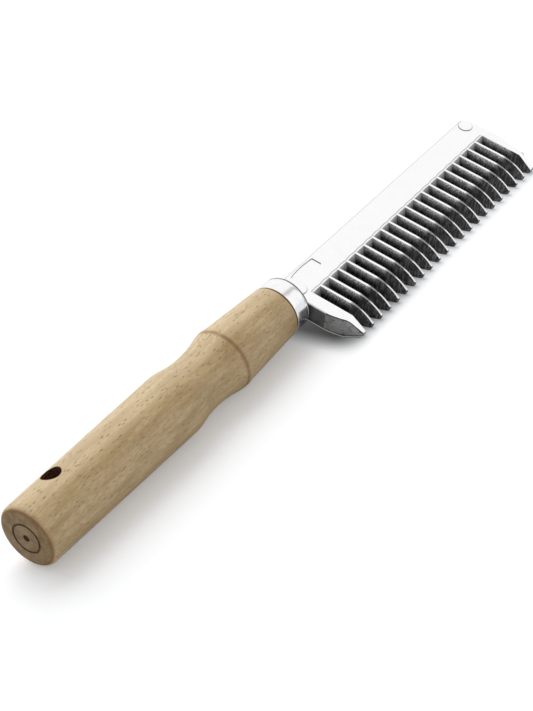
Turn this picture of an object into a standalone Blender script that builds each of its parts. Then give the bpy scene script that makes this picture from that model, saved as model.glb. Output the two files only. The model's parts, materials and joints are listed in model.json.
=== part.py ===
"""Mane comb: a cast metal comb with a tang, a ferrule and a turned beech handle.

The comb lies the way it rests on a table. The handle's collar and the noses of the end teeth
touch the table, so the comb's flat side leans towards its teeth. X runs along the handle towards
the far end of the comb, and Z is up.

Each piece is drawn in the frame of the handle: its axis is X, the shoulder where the ferrule
starts is X = 0, the teeth point to -Y and Z is square to the comb's flat side. One empty then
rolls and lifts the whole comb onto the table.
"""
import math

import bmesh
import bpy
from mathutils import Matrix, Vector

# Teeth and slots
THIN_TEETH = 20
TOOTH_PITCH = 0.00469
TOOTH_LENGTH = 0.0193
TOOTH_THICKNESS = 0.0014        # in the middle plane, where the mould parts
RIDGE_WIDTH = 0.0008            # at the comb's two faces
THIN_STRAIGHT = 0.0103          # length of a thin tooth before its faces curve in
THIN_TIP_RADIUS = 0.0004
END_STRAIGHT = 0.0142           # length of an end tooth before its faces slope in
END_TIP_RADIUS = 0.0008
UNDER_STRAIGHT = 0.0142         # length of any tooth before its underside rises
UNDER_TIP = 0.00145             # from the middle plane down to the underside at the tip
UNDER_TIP_CHAMFER = 0.0005
ROOT_RAMP_LENGTH = 0.0008       # of the shallow ramp on the spine's edge, between the teeth
ROOT_RAMP_DEPTH = 0.00015

# Spine of the casting
CASTING_THICKNESS = 0.0068
SPINE_WIDTH = 0.0100
ROOT_FROM_AXIS = 0.0054         # from the handle's axis to the root line of the teeth
CORNER_RADIUS = 0.0032

# End teeth
NEAR_END_WIDTH = 0.00455
NEAR_PARALLEL = 0.0080          # length of the near end tooth before it narrows
NEAR_BEND = 0.0140              # length at which its narrowing slows down
NEAR_BEND_INSET = 0.0014
NEAR_TIP_INSET = 0.0033
FAR_END_WIDTH = 0.00385
FAR_PARALLEL = 0.0038
FAR_TIP_INSET = 0.0019

# Marks left by the mould
DISC_RADIUS = 0.0023
DISC_HEIGHT = 0.0002
FAR_DISC_FROM_END = 0.0036
FAR_DISC_FROM_BACK = 0.0031
NEAR_DISC_X = 0.0102
NEAR_DISC_DROP = 0.0015         # from the handle's axis towards the teeth
PAD_START = 0.0125
PAD_LENGTH = 0.0111
PAD_WIDTH = 0.0044
PAD_OFFSET = 0.0014             # from the handle's axis towards the back of the comb
PAD_DEPTH = 0.00025
# Along and across the pad, as shares of its length and half its width: the side towards the back
# of the comb, and then the side towards its teeth on the way back
PAD_BACK_SHARES = ((0.0, 0.75), (0.25, 0.94), (0.5, 1.0), (0.8, 0.94), (1.0, 0.83))
PAD_FRONT_SHARES = ((1.0, 0.7), (0.8, 0.9), (0.5, 1.0), (0.17, 0.83), (0.05, 0.55), (0.0, -0.2))

# Tang
NECK_INSERT = 0.0032            # length of the spine that is inside the ferrule
TANG_LENGTH = 0.0480
TANG_WIDTH = 0.0070
TANG_THICKNESS = 0.0046
TANG_TIP_WIDTH = 0.0040
TANG_TIP_THICKNESS = 0.0030
TANG_POINT_LENGTH = 0.0040
TANG_POINT_WIDTH = 0.0012

# Ferrule
FERRULE_LENGTH = 0.0062
FERRULE_BACK_RADIUS = 0.0086
FERRULE_FRONT_RADIUS = 0.0083
FERRULE_WALL = 0.0008
FERRULE_LIP_RADIUS = 0.0003

# Turned handle: lengths are measured from the shoulder towards the butt
HANDLE_LENGTH = 0.1110
SHOULDER_RADIUS = 0.00855
COLLAR_START = 0.0256
COLLAR_STEP_LENGTH = 0.0004
COLLAR_CREST_LENGTH = 0.0004
COLLAR_FRONT_RADIUS = 0.0099    # of the wood just in front of the collar
COLLAR_RADIUS = 0.0101
WAIST_PLACE = 0.0378
WAIST_RADIUS = 0.0087
GRIP_START = 0.0470
GRIP_RADIUS = 0.0100
BUTT_RADIUS = 0.0096
BUTT_FILLET = 0.0019
EDGE_FILLET = 0.0003
COLLAR_COVE_POWER = 2.3
GRIP_COVE_POWER = 2.0

# Lathe marks and hanging hole at the butt
CENTRE_HOLE_RADIUS = 0.0007
CENTRE_HOLE_DEPTH = 0.0016
RING_GROOVE_RADIUS = 0.0045
RING_GROOVE_WIDTH = 0.0006
RING_GROOVE_DEPTH = 0.0003
HANG_HOLE_RADIUS = 0.0030
HANG_HOLE_FROM_BUTT = 0.0156
HANG_HOLE_TURN = math.radians(57)   # from the back of the comb towards its upper face

# Fits
CLEARANCE = 0.0003              # between pieces that touch
FERRULE_GAP = 0.0006            # from the ferrule's lip to the near end tooth
OVERRUN = 0.0020                # that a cutter runs past what it cuts

# Facets
TURNED_STEPS = 56
HOLE_SIDES = 32
CORNER_STEPS = 6
NOSE_STEPS = 7
COVE_STEPS = 7
FILLET_STEPS = 4

# Places that follow from the sizes above
HALF_THICKNESS = CASTING_THICKNESS / 2
ROOT_Y = -ROOT_FROM_AXIS
BACK_Y = ROOT_Y + SPINE_WIDTH
TIP_Y = ROOT_Y - TOOTH_LENGTH
SLOT_COUNT = THIN_TEETH + 1
SLOT_WIDTH = TOOTH_PITCH - RIDGE_WIDTH
FERRULE_BACK_X = CLEARANCE
FERRULE_FRONT_X = FERRULE_BACK_X + FERRULE_LENGTH
NEAR_FACE_X = FERRULE_FRONT_X + FERRULE_GAP
FIRST_SLOT_X = NEAR_FACE_X + NEAR_END_WIDTH + SLOT_WIDTH / 2
LAST_SLOT_X = FIRST_SLOT_X + TOOTH_PITCH * THIN_TEETH
FAR_FACE_X = LAST_SLOT_X + SLOT_WIDTH / 2 + FAR_END_WIDTH
NECK_X = FERRULE_FRONT_X - NECK_INSERT
TENON_X = NECK_X - CLEARANCE
TENON_RADIUS = FERRULE_FRONT_RADIUS - FERRULE_WALL - CLEARANCE
BUTT_X = -HANDLE_LENGTH


def new_collection(name):
    collection = bpy.data.collections.new(name)
    bpy.context.scene.collection.children.link(collection)
    return collection


def metal(name, colour, roughness):
    return material(name, colour, roughness, 1.0)


def material(name, colour, roughness, metallic):
    made = bpy.data.materials.new(name)
    made.use_nodes = True
    shader = made.node_tree.nodes["Principled BSDF"]
    shader.inputs["Base Color"].default_value = (*colour, 1.0)
    shader.inputs["Roughness"].default_value = roughness
    shader.inputs["Metallic"].default_value = metallic
    return made


def make_object(name, mesh, collection, parent):
    made = bpy.data.objects.new(name, mesh)
    collection.objects.link(made)
    made.parent = parent
    return made


def hide_cutter(cutter):
    cutter.hide_render = True
    cutter.display_type = "WIRE"


def from_bmesh(name, shape, collection, parent):
    mesh = bpy.data.meshes.new(name)
    shape.to_mesh(mesh)
    shape.free()
    return make_object(name, mesh, collection, parent)


def outline_solid(name, points, half_depth, collection, parent):
    """A flat outline in the local XY plane, as a closed solid that is twice half_depth thick."""
    curve = bpy.data.curves.new(name, "CURVE")
    curve.dimensions = "2D"
    curve.fill_mode = "BOTH"
    curve.extrude = half_depth
    spline = curve.splines.new("POLY")
    spline.points.add(len(points) - 1)
    for place, (x, y) in zip(spline.points, points):
        place.co = (x, y, 0, 1)
    spline.use_cyclic_u = True
    drawn = bpy.data.objects.new(name + "_outline", curve)
    collection.objects.link(drawn)
    evaluated = drawn.evaluated_get(bpy.context.evaluated_depsgraph_get())
    mesh = bpy.data.meshes.new_from_object(evaluated)
    shape = bmesh.new()
    shape.from_mesh(mesh)
    bmesh.ops.remove_doubles(shape, verts=shape.verts, dist=RIDGE_WIDTH / 1000)
    bmesh.ops.recalc_face_normals(shape, faces=shape.faces)
    bpy.data.objects.remove(drawn)
    bpy.data.meshes.remove(mesh)
    return from_bmesh(name, shape, collection, parent)


def loft(shape, rings):
    """Adds a closed solid through rings that have the same number of points each."""
    loops = [[shape.verts.new(point) for point in ring] for ring in rings]
    faces = []
    for lower, upper in zip(loops, loops[1:]):
        for index in range(len(lower)):
            after = (index + 1) % len(lower)
            faces.append(shape.faces.new((lower[index], lower[after], upper[after], upper[index])))
    faces.append(shape.faces.new(list(reversed(loops[0]))))
    faces.append(shape.faces.new(loops[-1]))
    bmesh.ops.recalc_face_normals(shape, faces=faces)


def arc(centre, radius, start, end, steps):
    """Points along an arc, with its angles in radians."""
    angles = [start + (end - start) * step / steps for step in range(steps + 1)]
    return [(centre[0] + radius * math.cos(a), centre[1] + radius * math.sin(a)) for a in angles]


def cut(target, tool, operation="DIFFERENCE"):
    modifier = target.modifiers.new(tool.name, "BOOLEAN")
    modifier.operation = operation
    modifier.solver = "EXACT"
    modifier.object = tool


def tooth_thickness(height):
    """Thickness of a thin tooth at a height from the middle plane: the mould's draft."""
    return TOOTH_THICKNESS - (TOOTH_THICKNESS - RIDGE_WIDTH) * abs(height) / HALF_THICKNESS


def blank_outline():
    """The casting's outline on its flat side, without the slots between the teeth."""
    corner = (FAR_FACE_X - CORNER_RADIUS, BACK_Y - CORNER_RADIUS)
    points = [
        (NECK_X, BACK_Y),
        (NECK_X, ROOT_Y),
        (NEAR_FACE_X, ROOT_Y),
        (NEAR_FACE_X, ROOT_Y - NEAR_PARALLEL),
        (NEAR_FACE_X + NEAR_BEND_INSET, ROOT_Y - NEAR_BEND),
        (NEAR_FACE_X + NEAR_TIP_INSET, TIP_Y),
        (FAR_FACE_X - FAR_TIP_INSET, TIP_Y),
        (FAR_FACE_X, ROOT_Y - FAR_PARALLEL),
    ]
    return points + arc(corner, CORNER_RADIUS, 0, math.pi / 2, CORNER_STEPS)


def thin_nose_edge():
    """The upper edge of a thin tooth from where it leaves the flat side to its tip: (Y, Z)."""
    run = TOOTH_LENGTH - THIN_STRAIGHT - THIN_TIP_RADIUS
    drop = HALF_THICKNESS - THIN_TIP_RADIUS
    sweep = 2 * math.atan(drop / run)
    radius = run / math.sin(sweep)
    centre = (ROOT_Y - THIN_STRAIGHT, HALF_THICKNESS - radius)
    upper = math.pi / 2
    return arc(centre, radius, upper, upper + sweep, NOSE_STEPS)


def end_nose_edge():
    """The upper edge of an end tooth: a flat slope down to its rounded tip."""
    return [(ROOT_Y - END_STRAIGHT, HALF_THICKNESS), (TIP_Y + END_TIP_RADIUS, END_TIP_RADIUS)]


def underside_edge():
    """The lower edge of any tooth from its blunt tip to where it leaves the flat side: (Y, depth)."""
    start = (ROOT_Y - UNDER_STRAIGHT, HALF_THICKNESS)
    slope = (HALF_THICKNESS - UNDER_TIP) / (TOOTH_LENGTH - UNDER_STRAIGHT)
    chamfer_end = (TIP_Y + UNDER_TIP_CHAMFER, UNDER_TIP + slope * UNDER_TIP_CHAMFER)
    return [(TIP_Y, UNDER_TIP - UNDER_TIP_CHAMFER), chamfer_end, start]


def nose_cutter(name, edge, start_x, end_x, cutters, parent):
    """What is cut away above, below and past the tapering end of the teeth, as one long channel."""
    tip_radius = edge[-1][1]
    tip = arc((TIP_Y + tip_radius, 0), tip_radius, math.radians(120), math.pi, FILLET_STEPS // 2)
    lower_edge = [(y, -depth) for y, depth in underside_edge()]
    past_tip = TIP_Y - OVERRUN
    above = HALF_THICKNESS + OVERRUN
    around = [(lower_edge[-1][0], -above), (past_tip, -above), (past_tip, above), (edge[0][0], above)]
    channel = outline_solid(name, edge + tip + lower_edge + around, (end_x - start_x) / 2, cutters, parent)
    turn = Matrix.Rotation(math.pi / 2, 4, "Z") @ Matrix.Rotation(math.pi / 2, 4, "X")
    channel.data.transform(Matrix.Translation(((start_x + end_x) / 2, 0, 0)) @ turn)
    hide_cutter(channel)
    return channel


def slot_rings(centre_x):
    """Sections of one slot, from below the lower face to above the upper one."""
    rings = []
    outside = HALF_THICKNESS + OVERRUN
    inside = HALF_THICKNESS - ROOT_RAMP_DEPTH
    steepness = ROOT_RAMP_LENGTH / ROOT_RAMP_DEPTH
    for height in (-outside, -inside, 0, inside, outside):
        half_width = (TOOTH_PITCH - tooth_thickness(height)) / 2
        root = ROOT_Y + steepness * max(0, abs(height) - inside)
        rings.append([
            (centre_x - half_width, root, height),
            (centre_x + half_width, root, height),
            (centre_x + half_width, TIP_Y - OVERRUN, height),
            (centre_x - half_width, TIP_Y - OVERRUN, height),
        ])
    return rings


def slot_cutters(cutters, parent):
    shape = bmesh.new()
    for index in range(SLOT_COUNT):
        loft(shape, slot_rings(FIRST_SLOT_X + index * TOOTH_PITCH))
    slots = from_bmesh("slots_cutter", shape, cutters, parent)
    hide_cutter(slots)
    return slots


def tang_rings(grow, start_x):
    """Sections of the tang, or of its socket when they are grown by the clearance."""
    end_x = TENON_X - TANG_LENGTH
    sections = (
        (start_x, TANG_WIDTH, TANG_THICKNESS),
        (end_x + TANG_POINT_LENGTH, TANG_TIP_WIDTH, TANG_TIP_THICKNESS),
        (end_x - grow, TANG_POINT_WIDTH, TANG_TIP_THICKNESS),
    )
    rings = []
    for x, width, thickness in sections:
        half_width = width / 2 + grow
        half_height = thickness / 2 + grow
        rings.append([
            (x, -half_width, -half_height),
            (x, half_width, -half_height),
            (x, half_width, half_height),
            (x, -half_width, half_height),
        ])
    return rings


def make_tang(parts, parent):
    """The tang is cast in one with the comb. It is drawn as a piece of its own behind the neck."""
    shape = bmesh.new()
    loft(shape, tang_rings(0, TENON_X))
    tang = from_bmesh("tang", shape, parts, parent)
    tang.data.materials.append(metal("cast_tang", (0.62, 0.62, 0.64), 0.45))


def make_discs(cutters, parent):
    """Two low round marks on the upper face: one in the far corner, one beside the ferrule."""
    shape = bmesh.new()
    places = (
        (FAR_FACE_X - FAR_DISC_FROM_END, BACK_Y - FAR_DISC_FROM_BACK),
        (NEAR_DISC_X, -NEAR_DISC_DROP),
    )
    top = HALF_THICKNESS + DISC_HEIGHT
    for x, y in places:
        centre = Matrix.Translation((x, y, top / 2))
        bmesh.ops.create_cone(shape, cap_ends=True, segments=HOLE_SIDES, radius1=DISC_RADIUS,
                              radius2=DISC_RADIUS, depth=top, matrix=centre)
    discs = from_bmesh("discs_union", shape, cutters, parent)
    hide_cutter(discs)
    return discs


def make_pad_cutter(cutters, parent):
    """The shallow pocket beside the ferrule: one square end, and one that is round at the front."""
    back_side = [(PAD_LENGTH * along, PAD_WIDTH / 2 * across) for along, across in PAD_BACK_SHARES]
    front_side = [(PAD_LENGTH * along, -PAD_WIDTH / 2 * across) for along, across in PAD_FRONT_SHARES]
    pad = outline_solid("pad_cutter", back_side + front_side, OVERRUN / 2, cutters, parent)
    floor = HALF_THICKNESS - PAD_DEPTH
    pad.location = (PAD_START, PAD_OFFSET, floor + OVERRUN / 2)
    hide_cutter(pad)
    return pad


def make_comb(parts, cutters, parent):
    comb = outline_solid("comb_casting", blank_outline(), HALF_THICKNESS, parts, parent)
    thin_nose = nose_cutter(
        "thin_nose_cutter", thin_nose_edge(), FIRST_SLOT_X, LAST_SLOT_X, cutters, parent)
    end_nose = nose_cutter(
        "end_nose_cutter", end_nose_edge(), NEAR_FACE_X - OVERRUN, FAR_FACE_X + OVERRUN, cutters, parent)
    cut(comb, end_nose)
    cut(comb, thin_nose)
    cut(comb, slot_cutters(cutters, parent))
    cut(comb, make_discs(cutters, parent), "UNION")
    cut(comb, make_pad_cutter(cutters, parent))
    comb.data.materials.append(metal("polished_casting", (0.78, 0.78, 0.80), 0.25))


def turned(name, profile, closed, collection, parent):
    """Turns a profile of (radius, x) points around the handle's axis."""
    mesh = bpy.data.meshes.new(name)
    edges = [(index, index + 1) for index in range(len(profile) - 1)]
    if closed:
        edges.append((len(profile) - 1, 0))
    mesh.from_pydata([(radius, 0, x) for radius, x in profile], edges, [])
    made = make_object(name, mesh, collection, parent)
    made.rotation_euler = (0, math.pi / 2, 0)
    screw = made.modifiers.new("turning", "SCREW")
    screw.axis = "Z"
    screw.steps = TURNED_STEPS
    screw.render_steps = TURNED_STEPS
    screw.use_merge_vertices = True
    screw.merge_threshold = EDGE_FILLET / 100
    screw.use_smooth_shade = False
    return made


def cove(start, end, power):
    """A hollow between two (radius, x) points: steep at the start, level at the end."""
    points = []
    for step in range(1, COVE_STEPS + 1):
        share = step / COVE_STEPS
        radius = end[0] + (start[0] - end[0]) * (1 - share) ** power
        points.append((radius, start[1] + (end[1] - start[1]) * share))
    return points


def butt_profile():
    """The butt's rounded edge and end face, with the marks of the lathe's cup centre."""
    fillet_centre = (BUTT_RADIUS - BUTT_FILLET, BUTT_X + BUTT_FILLET)
    fillet = arc(fillet_centre, BUTT_FILLET, 0, -math.pi / 2, FILLET_STEPS)
    groove = [
        (RING_GROOVE_RADIUS + RING_GROOVE_WIDTH / 2, BUTT_X),
        (RING_GROOVE_RADIUS, BUTT_X + RING_GROOVE_DEPTH),
        (RING_GROOVE_RADIUS - RING_GROOVE_WIDTH / 2, BUTT_X),
    ]
    centre = [(CENTRE_HOLE_RADIUS, BUTT_X), (0, BUTT_X + CENTRE_HOLE_DEPTH)]
    return fillet + groove + centre


def handle_profile():
    """Half the handle's section, from the tenon's end down the outer side to the butt."""
    collar_start = (COLLAR_RADIUS, -COLLAR_START - COLLAR_STEP_LENGTH)
    collar_end = (COLLAR_RADIUS, collar_start[1] - COLLAR_CREST_LENGTH)
    waist = (WAIST_RADIUS, -WAIST_PLACE)
    grip = (GRIP_RADIUS, -GRIP_START)
    into_grip = list(reversed(cove(grip, waist, GRIP_COVE_POWER)))[1:]
    return (
        [(0, TENON_X), (TENON_RADIUS, TENON_X), (TENON_RADIUS, 0)]
        + [(SHOULDER_RADIUS - EDGE_FILLET, 0), (SHOULDER_RADIUS, -EDGE_FILLET)]
        + [(COLLAR_FRONT_RADIUS, -COLLAR_START), collar_start, collar_end]
        + cove(collar_end, waist, COLLAR_COVE_POWER)
        + into_grip
        + [grip]
        + butt_profile()
    )


def make_handle(parts, cutters, parent):
    handle = turned("handle", handle_profile(), False, parts, parent)
    socket_shape = bmesh.new()
    loft(socket_shape, tang_rings(CLEARANCE, TENON_X + OVERRUN))
    socket = from_bmesh("tang_socket_cutter", socket_shape, cutters, parent)
    hide_cutter(socket)
    hole_shape = bmesh.new()
    through = 2 * (BUTT_RADIUS + OVERRUN)
    bmesh.ops.create_cone(hole_shape, cap_ends=True, segments=HOLE_SIDES, radius1=HANG_HOLE_RADIUS,
                          radius2=HANG_HOLE_RADIUS, depth=through)
    hole = from_bmesh("hang_hole_cutter", hole_shape, cutters, parent)
    hole.location = (BUTT_X + HANG_HOLE_FROM_BUTT, 0, 0)
    hole.rotation_euler = (HANG_HOLE_TURN - math.pi / 2, 0, 0)
    hide_cutter(hole)
    cut(handle, socket)
    cut(handle, hole)
    handle.data.materials.append(material("beech", (0.58, 0.44, 0.27), 0.5, 0.0))


def ferrule_profile():
    """The ring's section, from its back edge along the outside to the lip and back inside."""
    bore = FERRULE_FRONT_RADIUS - FERRULE_WALL
    lip_centre = (FERRULE_FRONT_RADIUS - FERRULE_LIP_RADIUS, FERRULE_FRONT_X - FERRULE_LIP_RADIUS)
    lip = arc(lip_centre, FERRULE_LIP_RADIUS, math.pi / 2, 0, FILLET_STEPS)
    return [(bore, FERRULE_FRONT_X)] + lip + [(FERRULE_BACK_RADIUS, FERRULE_BACK_X), (bore, FERRULE_BACK_X)]


def make_ferrule(parts, parent):
    ferrule = turned("ferrule", ferrule_profile(), True, parts, parent)
    ferrule.data.materials.append(metal("plated_ferrule", (0.86, 0.86, 0.88), 0.12))


def resting_roll(edges):
    """The roll at which the first tooth touches the table that carries the collar."""
    rolls = []
    for y, height in edges:
        reach = math.hypot(y, height)
        rolls.append(math.asin(COLLAR_RADIUS / reach) - math.atan2(height, -y))
    return min(rolls)


def make_frame():
    """The empty that rolls the comb onto the table, with the middle of its footprint at zero."""
    edges = thin_nose_edge() + end_nose_edge()
    roll = resting_roll(underside_edge())
    teeth_reach = min(y * math.cos(roll) - height for y, height in edges)
    middle_x = (BUTT_X + FAR_FACE_X) / 2
    middle_y = (teeth_reach + COLLAR_RADIUS) / 2
    frame = bpy.data.objects.new("resting_frame", None)
    bpy.context.scene.collection.objects.link(frame)
    frame.location = Vector((-middle_x, -middle_y, COLLAR_RADIUS))
    frame.rotation_euler = (roll, 0, 0)
    print("the comb is rolled", round(math.degrees(roll), 2), "degrees")
    return frame


def main():
    for old in list(bpy.data.objects):
        bpy.data.objects.remove(old)
    parts = new_collection("wooden_handled_comb")
    cutters = new_collection("cutters")
    frame = make_frame()
    make_comb(parts, cutters, frame)
    make_tang(parts, frame)
    make_handle(parts, cutters, frame)
    make_ferrule(parts, frame)


main()
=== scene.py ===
# %% [markdown]
# A mane comb lies on white paper: a cast comb with twenty thin teeth and two thick ones, a bright
# ferrule, and a turned beech handle with a hole to hang it by. The solid model has the right sizes
# but flat facets and plain colours. This lesson dresses it: each piece is modelled again with the
# edges, marks and skin that the real one has, and then gets its finish.
#
# The solid model comes first, as a frame that is never moved. Its box is kept, so that the end of
# the lesson can show that the dressed comb is still the same size.

# %% The solid model
import json
import math

import bmesh
import bpy
from mathutils import Euler, Matrix, Vector


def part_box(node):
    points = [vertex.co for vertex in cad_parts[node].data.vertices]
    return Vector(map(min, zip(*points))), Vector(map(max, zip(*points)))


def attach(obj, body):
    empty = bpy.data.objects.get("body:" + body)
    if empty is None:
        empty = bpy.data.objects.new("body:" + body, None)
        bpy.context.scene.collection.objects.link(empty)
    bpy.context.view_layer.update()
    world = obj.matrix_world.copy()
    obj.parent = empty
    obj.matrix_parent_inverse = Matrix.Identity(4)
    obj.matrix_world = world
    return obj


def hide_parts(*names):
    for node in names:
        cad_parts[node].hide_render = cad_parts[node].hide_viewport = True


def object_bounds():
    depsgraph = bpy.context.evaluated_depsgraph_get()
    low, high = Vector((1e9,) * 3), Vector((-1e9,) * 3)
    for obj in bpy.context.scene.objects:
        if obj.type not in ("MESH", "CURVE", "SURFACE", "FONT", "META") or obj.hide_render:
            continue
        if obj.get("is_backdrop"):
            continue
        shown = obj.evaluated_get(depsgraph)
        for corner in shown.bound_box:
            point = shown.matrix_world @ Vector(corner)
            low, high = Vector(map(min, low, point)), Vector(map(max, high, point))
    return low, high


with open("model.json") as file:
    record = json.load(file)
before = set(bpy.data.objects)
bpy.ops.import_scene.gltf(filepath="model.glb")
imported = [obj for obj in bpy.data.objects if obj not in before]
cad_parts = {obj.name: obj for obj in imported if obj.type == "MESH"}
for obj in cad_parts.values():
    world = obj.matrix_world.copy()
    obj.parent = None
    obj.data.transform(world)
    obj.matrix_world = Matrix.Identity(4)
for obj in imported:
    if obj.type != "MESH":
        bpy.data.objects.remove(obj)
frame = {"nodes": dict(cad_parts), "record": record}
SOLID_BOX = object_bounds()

print("pieces of the solid model:", sorted(frame["nodes"]))

# %% [markdown]
# The comb doesn't lie flat. It rests on the collar of its handle and on the ends of its two thick
# teeth, so it is rolled by about twenty degrees. Modelling is easier along straight axes, so every
# piece is drawn in the comb's own directions: X along the handle towards the teeth, with zero at
# the shoulder where the ferrule starts, the teeth towards -Y, and Z square to the flat side. One
# matrix then lays each finished piece in its place. The roll is read from the mount on the flat
# side, and the handle's axis from the middle of the handle's box.

# %% The comb's own directions
MM = 0.001
CLEARANCE = 0.3 * MM

flat_side = next(m for m in frame["record"]["mounts"] if m["name"] == "spine_upper_face")
ROLL = math.atan2(-flat_side["axis"][1], flat_side["axis"][2])
handle_low, handle_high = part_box("handle")
AXIS_PLACE = (handle_low + handle_high) / 2
AXIS_PLACE.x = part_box("ferrule")[0].x - CLEARANCE
LAY_DOWN = Matrix.Translation(AXIS_PLACE) @ Matrix.Rotation(ROLL, 4, "X")
print("rolled by", round(math.degrees(ROLL), 2), "degrees, shoulder at", [round(v, 5) for v in AXIS_PLACE])

# %% [markdown]
# The camera stands behind the handle and a little above it, tilted so that the comb runs from the
# lower left to the upper right. Its place and its three angles are those of the photograph. The
# lens is given in millimetres for a 36 mm sensor, and the image is 533 by 711 pixels.

# %% The camera
CAMERA_PLACE = (-0.36762, -0.32905, 0.31813)
CAMERA_AZIMUTH = math.radians(46.967)
CAMERA_ELEVATION = math.radians(32.935)
CAMERA_TILT = math.radians(-12.71)
FOCAL_PIXELS = 1999.5
LONG_SIDE_PIXELS = 711
SENSOR = 36.0
NEAREST = 0.01

camera_data = bpy.data.cameras.new("camera")
camera_data.sensor_width = SENSOR
camera_data.lens = FOCAL_PIXELS * SENSOR / LONG_SIDE_PIXELS
camera_data.clip_start = NEAREST
camera = bpy.data.objects.new("camera", camera_data)
bpy.context.scene.collection.objects.link(camera)
looking = Euler((math.pi / 2 - CAMERA_ELEVATION, 0, -CAMERA_AZIMUTH)).to_matrix()
turned_camera = looking @ Matrix.Rotation(CAMERA_TILT, 3, "Z")
camera.matrix_world = Matrix.Translation(CAMERA_PLACE) @ turned_camera.to_4x4()
bpy.context.scene.camera = camera
print("lens", round(camera_data.lens, 2), "mm")

# %% [markdown]
# A material is a graph of nodes, and its maths is easier to read as a formula. A small class wraps
# one output socket, and its operators add the Math nodes: mask * 0.5 adds a Multiply node, and
# 1 - mask a Subtract node.

# %% Shader maths: one socket
class Wire:
    """One output socket. Arithmetic on it adds Math nodes to the same material."""

    def __init__(self, finish, socket):
        self.finish = finish
        self.socket = socket

    def math(self, operation, *others):
        return self.finish.add("ShaderNodeMath", {"operation": operation}, dict(enumerate((self, *others))))

    def __add__(self, other):
        return self.math("ADD", other)

    def __sub__(self, other):
        return self.math("SUBTRACT", other)

    def __rsub__(self, other):
        return self.finish.add("ShaderNodeMath", {"operation": "SUBTRACT"}, {0: other, 1: self})

    def __mul__(self, other):
        return self.math("MULTIPLY", other)

    def __pow__(self, other):
        return self.math("POWER", other)

    def __abs__(self):
        return self.math("ABSOLUTE")

    __radd__ = __add__
    __rmul__ = __mul__

    def larger(self, other):
        return self.math("MAXIMUM", other)

    def root(self):
        return self.math("SQRT")

    def ramp(self, start, end):
        """Zero up to start, one from end on, and a smooth step in between."""
        values = {"Value": self, "From Min": start, "From Max": end}
        return self.finish.add("ShaderNodeMapRange", {"interpolation_type": "SMOOTHSTEP"}, values)


print("the class Wire is ready")

# %% [markdown]
# A second class holds one material, or the world. It has one method that adds any node, and short
# ones for the nodes that are used often. Every finish below is placed in the comb's own
# directions, so place turns the point on the piece back into them.
#
# Most masks are bands: one between a start and an end, with soft edges. The function window makes
# one. In the cells below a pair of lengths is the start and the end of a ramp, and three of them are
# the start, the end and the soft edge of a window.

# %% Shader maths: one material
class Finish:
    """One material, or the world: its nodes, and the one method that adds a node."""

    def __init__(self, name, world=None):
        self.material = world or bpy.data.materials.new(name)
        self.material.use_nodes = True
        self.tree = self.material.node_tree
        self.shader = self.tree.nodes["Background" if world else "Principled BSDF"]

    def add(self, kind, settings=None, values=None, output=0):
        node = self.tree.nodes.new(kind)
        for name, value in (settings or {}).items():
            setattr(node, name, value)
        for name, value in (values or {}).items():
            self.feed(node.inputs[name], value)
        return Wire(self, node.outputs[output])

    def feed(self, socket, value):
        if isinstance(value, Wire):
            self.tree.links.new(value.socket, socket)
        elif isinstance(value, (tuple, list)) and socket.type == "RGBA":
            socket.default_value = (*value, 1.0)
        else:
            socket.default_value = value

    def set(self, **values):
        """Feeds the shader's sockets: set(base_color=...) is its Base Color."""
        for name, value in values.items():
            socket = next(s for s in self.shader.inputs if s.name.lower().replace(" ", "_") == name)
            self.feed(socket, value)

    def tell(self):
        print(self.material.name, "has", len(self.tree.nodes), "nodes")

    def place(self):
        """The point on the piece in the comb's own directions, in metres."""
        point = self.add("ShaderNodeTexCoord", output="Object")
        return self.add("ShaderNodeMapping", {"vector_type": "TEXTURE"},
                        {"Vector": point, "Location": AXIS_PLACE, "Rotation": (ROLL, 0, 0)})

    def split(self, vector):
        node = self.tree.nodes.new("ShaderNodeSeparateXYZ")
        self.feed(node.inputs["Vector"], vector)
        return [Wire(self, output) for output in node.outputs]

    def stretched(self, place, per_x, per_y, per_z):
        """The place with each direction scaled: features are one unit over these long."""
        return self.add("ShaderNodeMapping", {"vector_type": "POINT"},
                        {"Vector": place, "Scale": (per_x, per_y, per_z)})

    def noise(self, place, scale, detail=2.0, roughness=0.5):
        values = {"Vector": place, "Scale": scale, "Detail": detail, "Roughness": roughness}
        return self.add("ShaderNodeTexNoise", values=values)

    def mix(self, share, first, second):
        """A colour that goes from the first to the second as the share goes from 0 to 1."""
        node = self.tree.nodes.new("ShaderNodeMix")
        node.data_type = "RGBA"
        factor = node.inputs[0]
        colours = [socket for socket in node.inputs if socket.type == "RGBA"]
        self.feed(factor, share)
        self.feed(colours[0], first)
        self.feed(colours[1], second)
        return Wire(self, next(socket for socket in node.outputs if socket.type == "RGBA"))

    def bump(self, height, distance, strength=1.0):
        values = {"Height": height, "Distance": distance, "Strength": strength}
        return self.add("ShaderNodeBump", values=values, output="Normal")


def window(value, start, end, soft):
    """One between start and end, and zero outside, with soft steps."""
    return value.ramp(start - soft / 2, start + soft / 2) * (1 - value.ramp(end - soft / 2, end + soft / 2))


print("the class Finish and the function window are ready")

# %% [markdown]
# The floor is plain white paper, far larger than the comb. Paper that is lit evenly renders a
# little grey, and the photograph's is pure white, so for camera rays the paper also glows faintly.
# The glow is colour and not light: it adds nothing to the comb, and a shadow still shows on it.
#
# The corner under the neck lies between the handle, the ferrule and the first thick tooth. The real
# corner is much darker than this light leaves it, so the paper there has a soft dark patch. It has a
# fixed place on the floor, so it looks the same from every side. Its four limits each have a start
# and an end, and are measured in the comb's own directions, like everything below.

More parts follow.
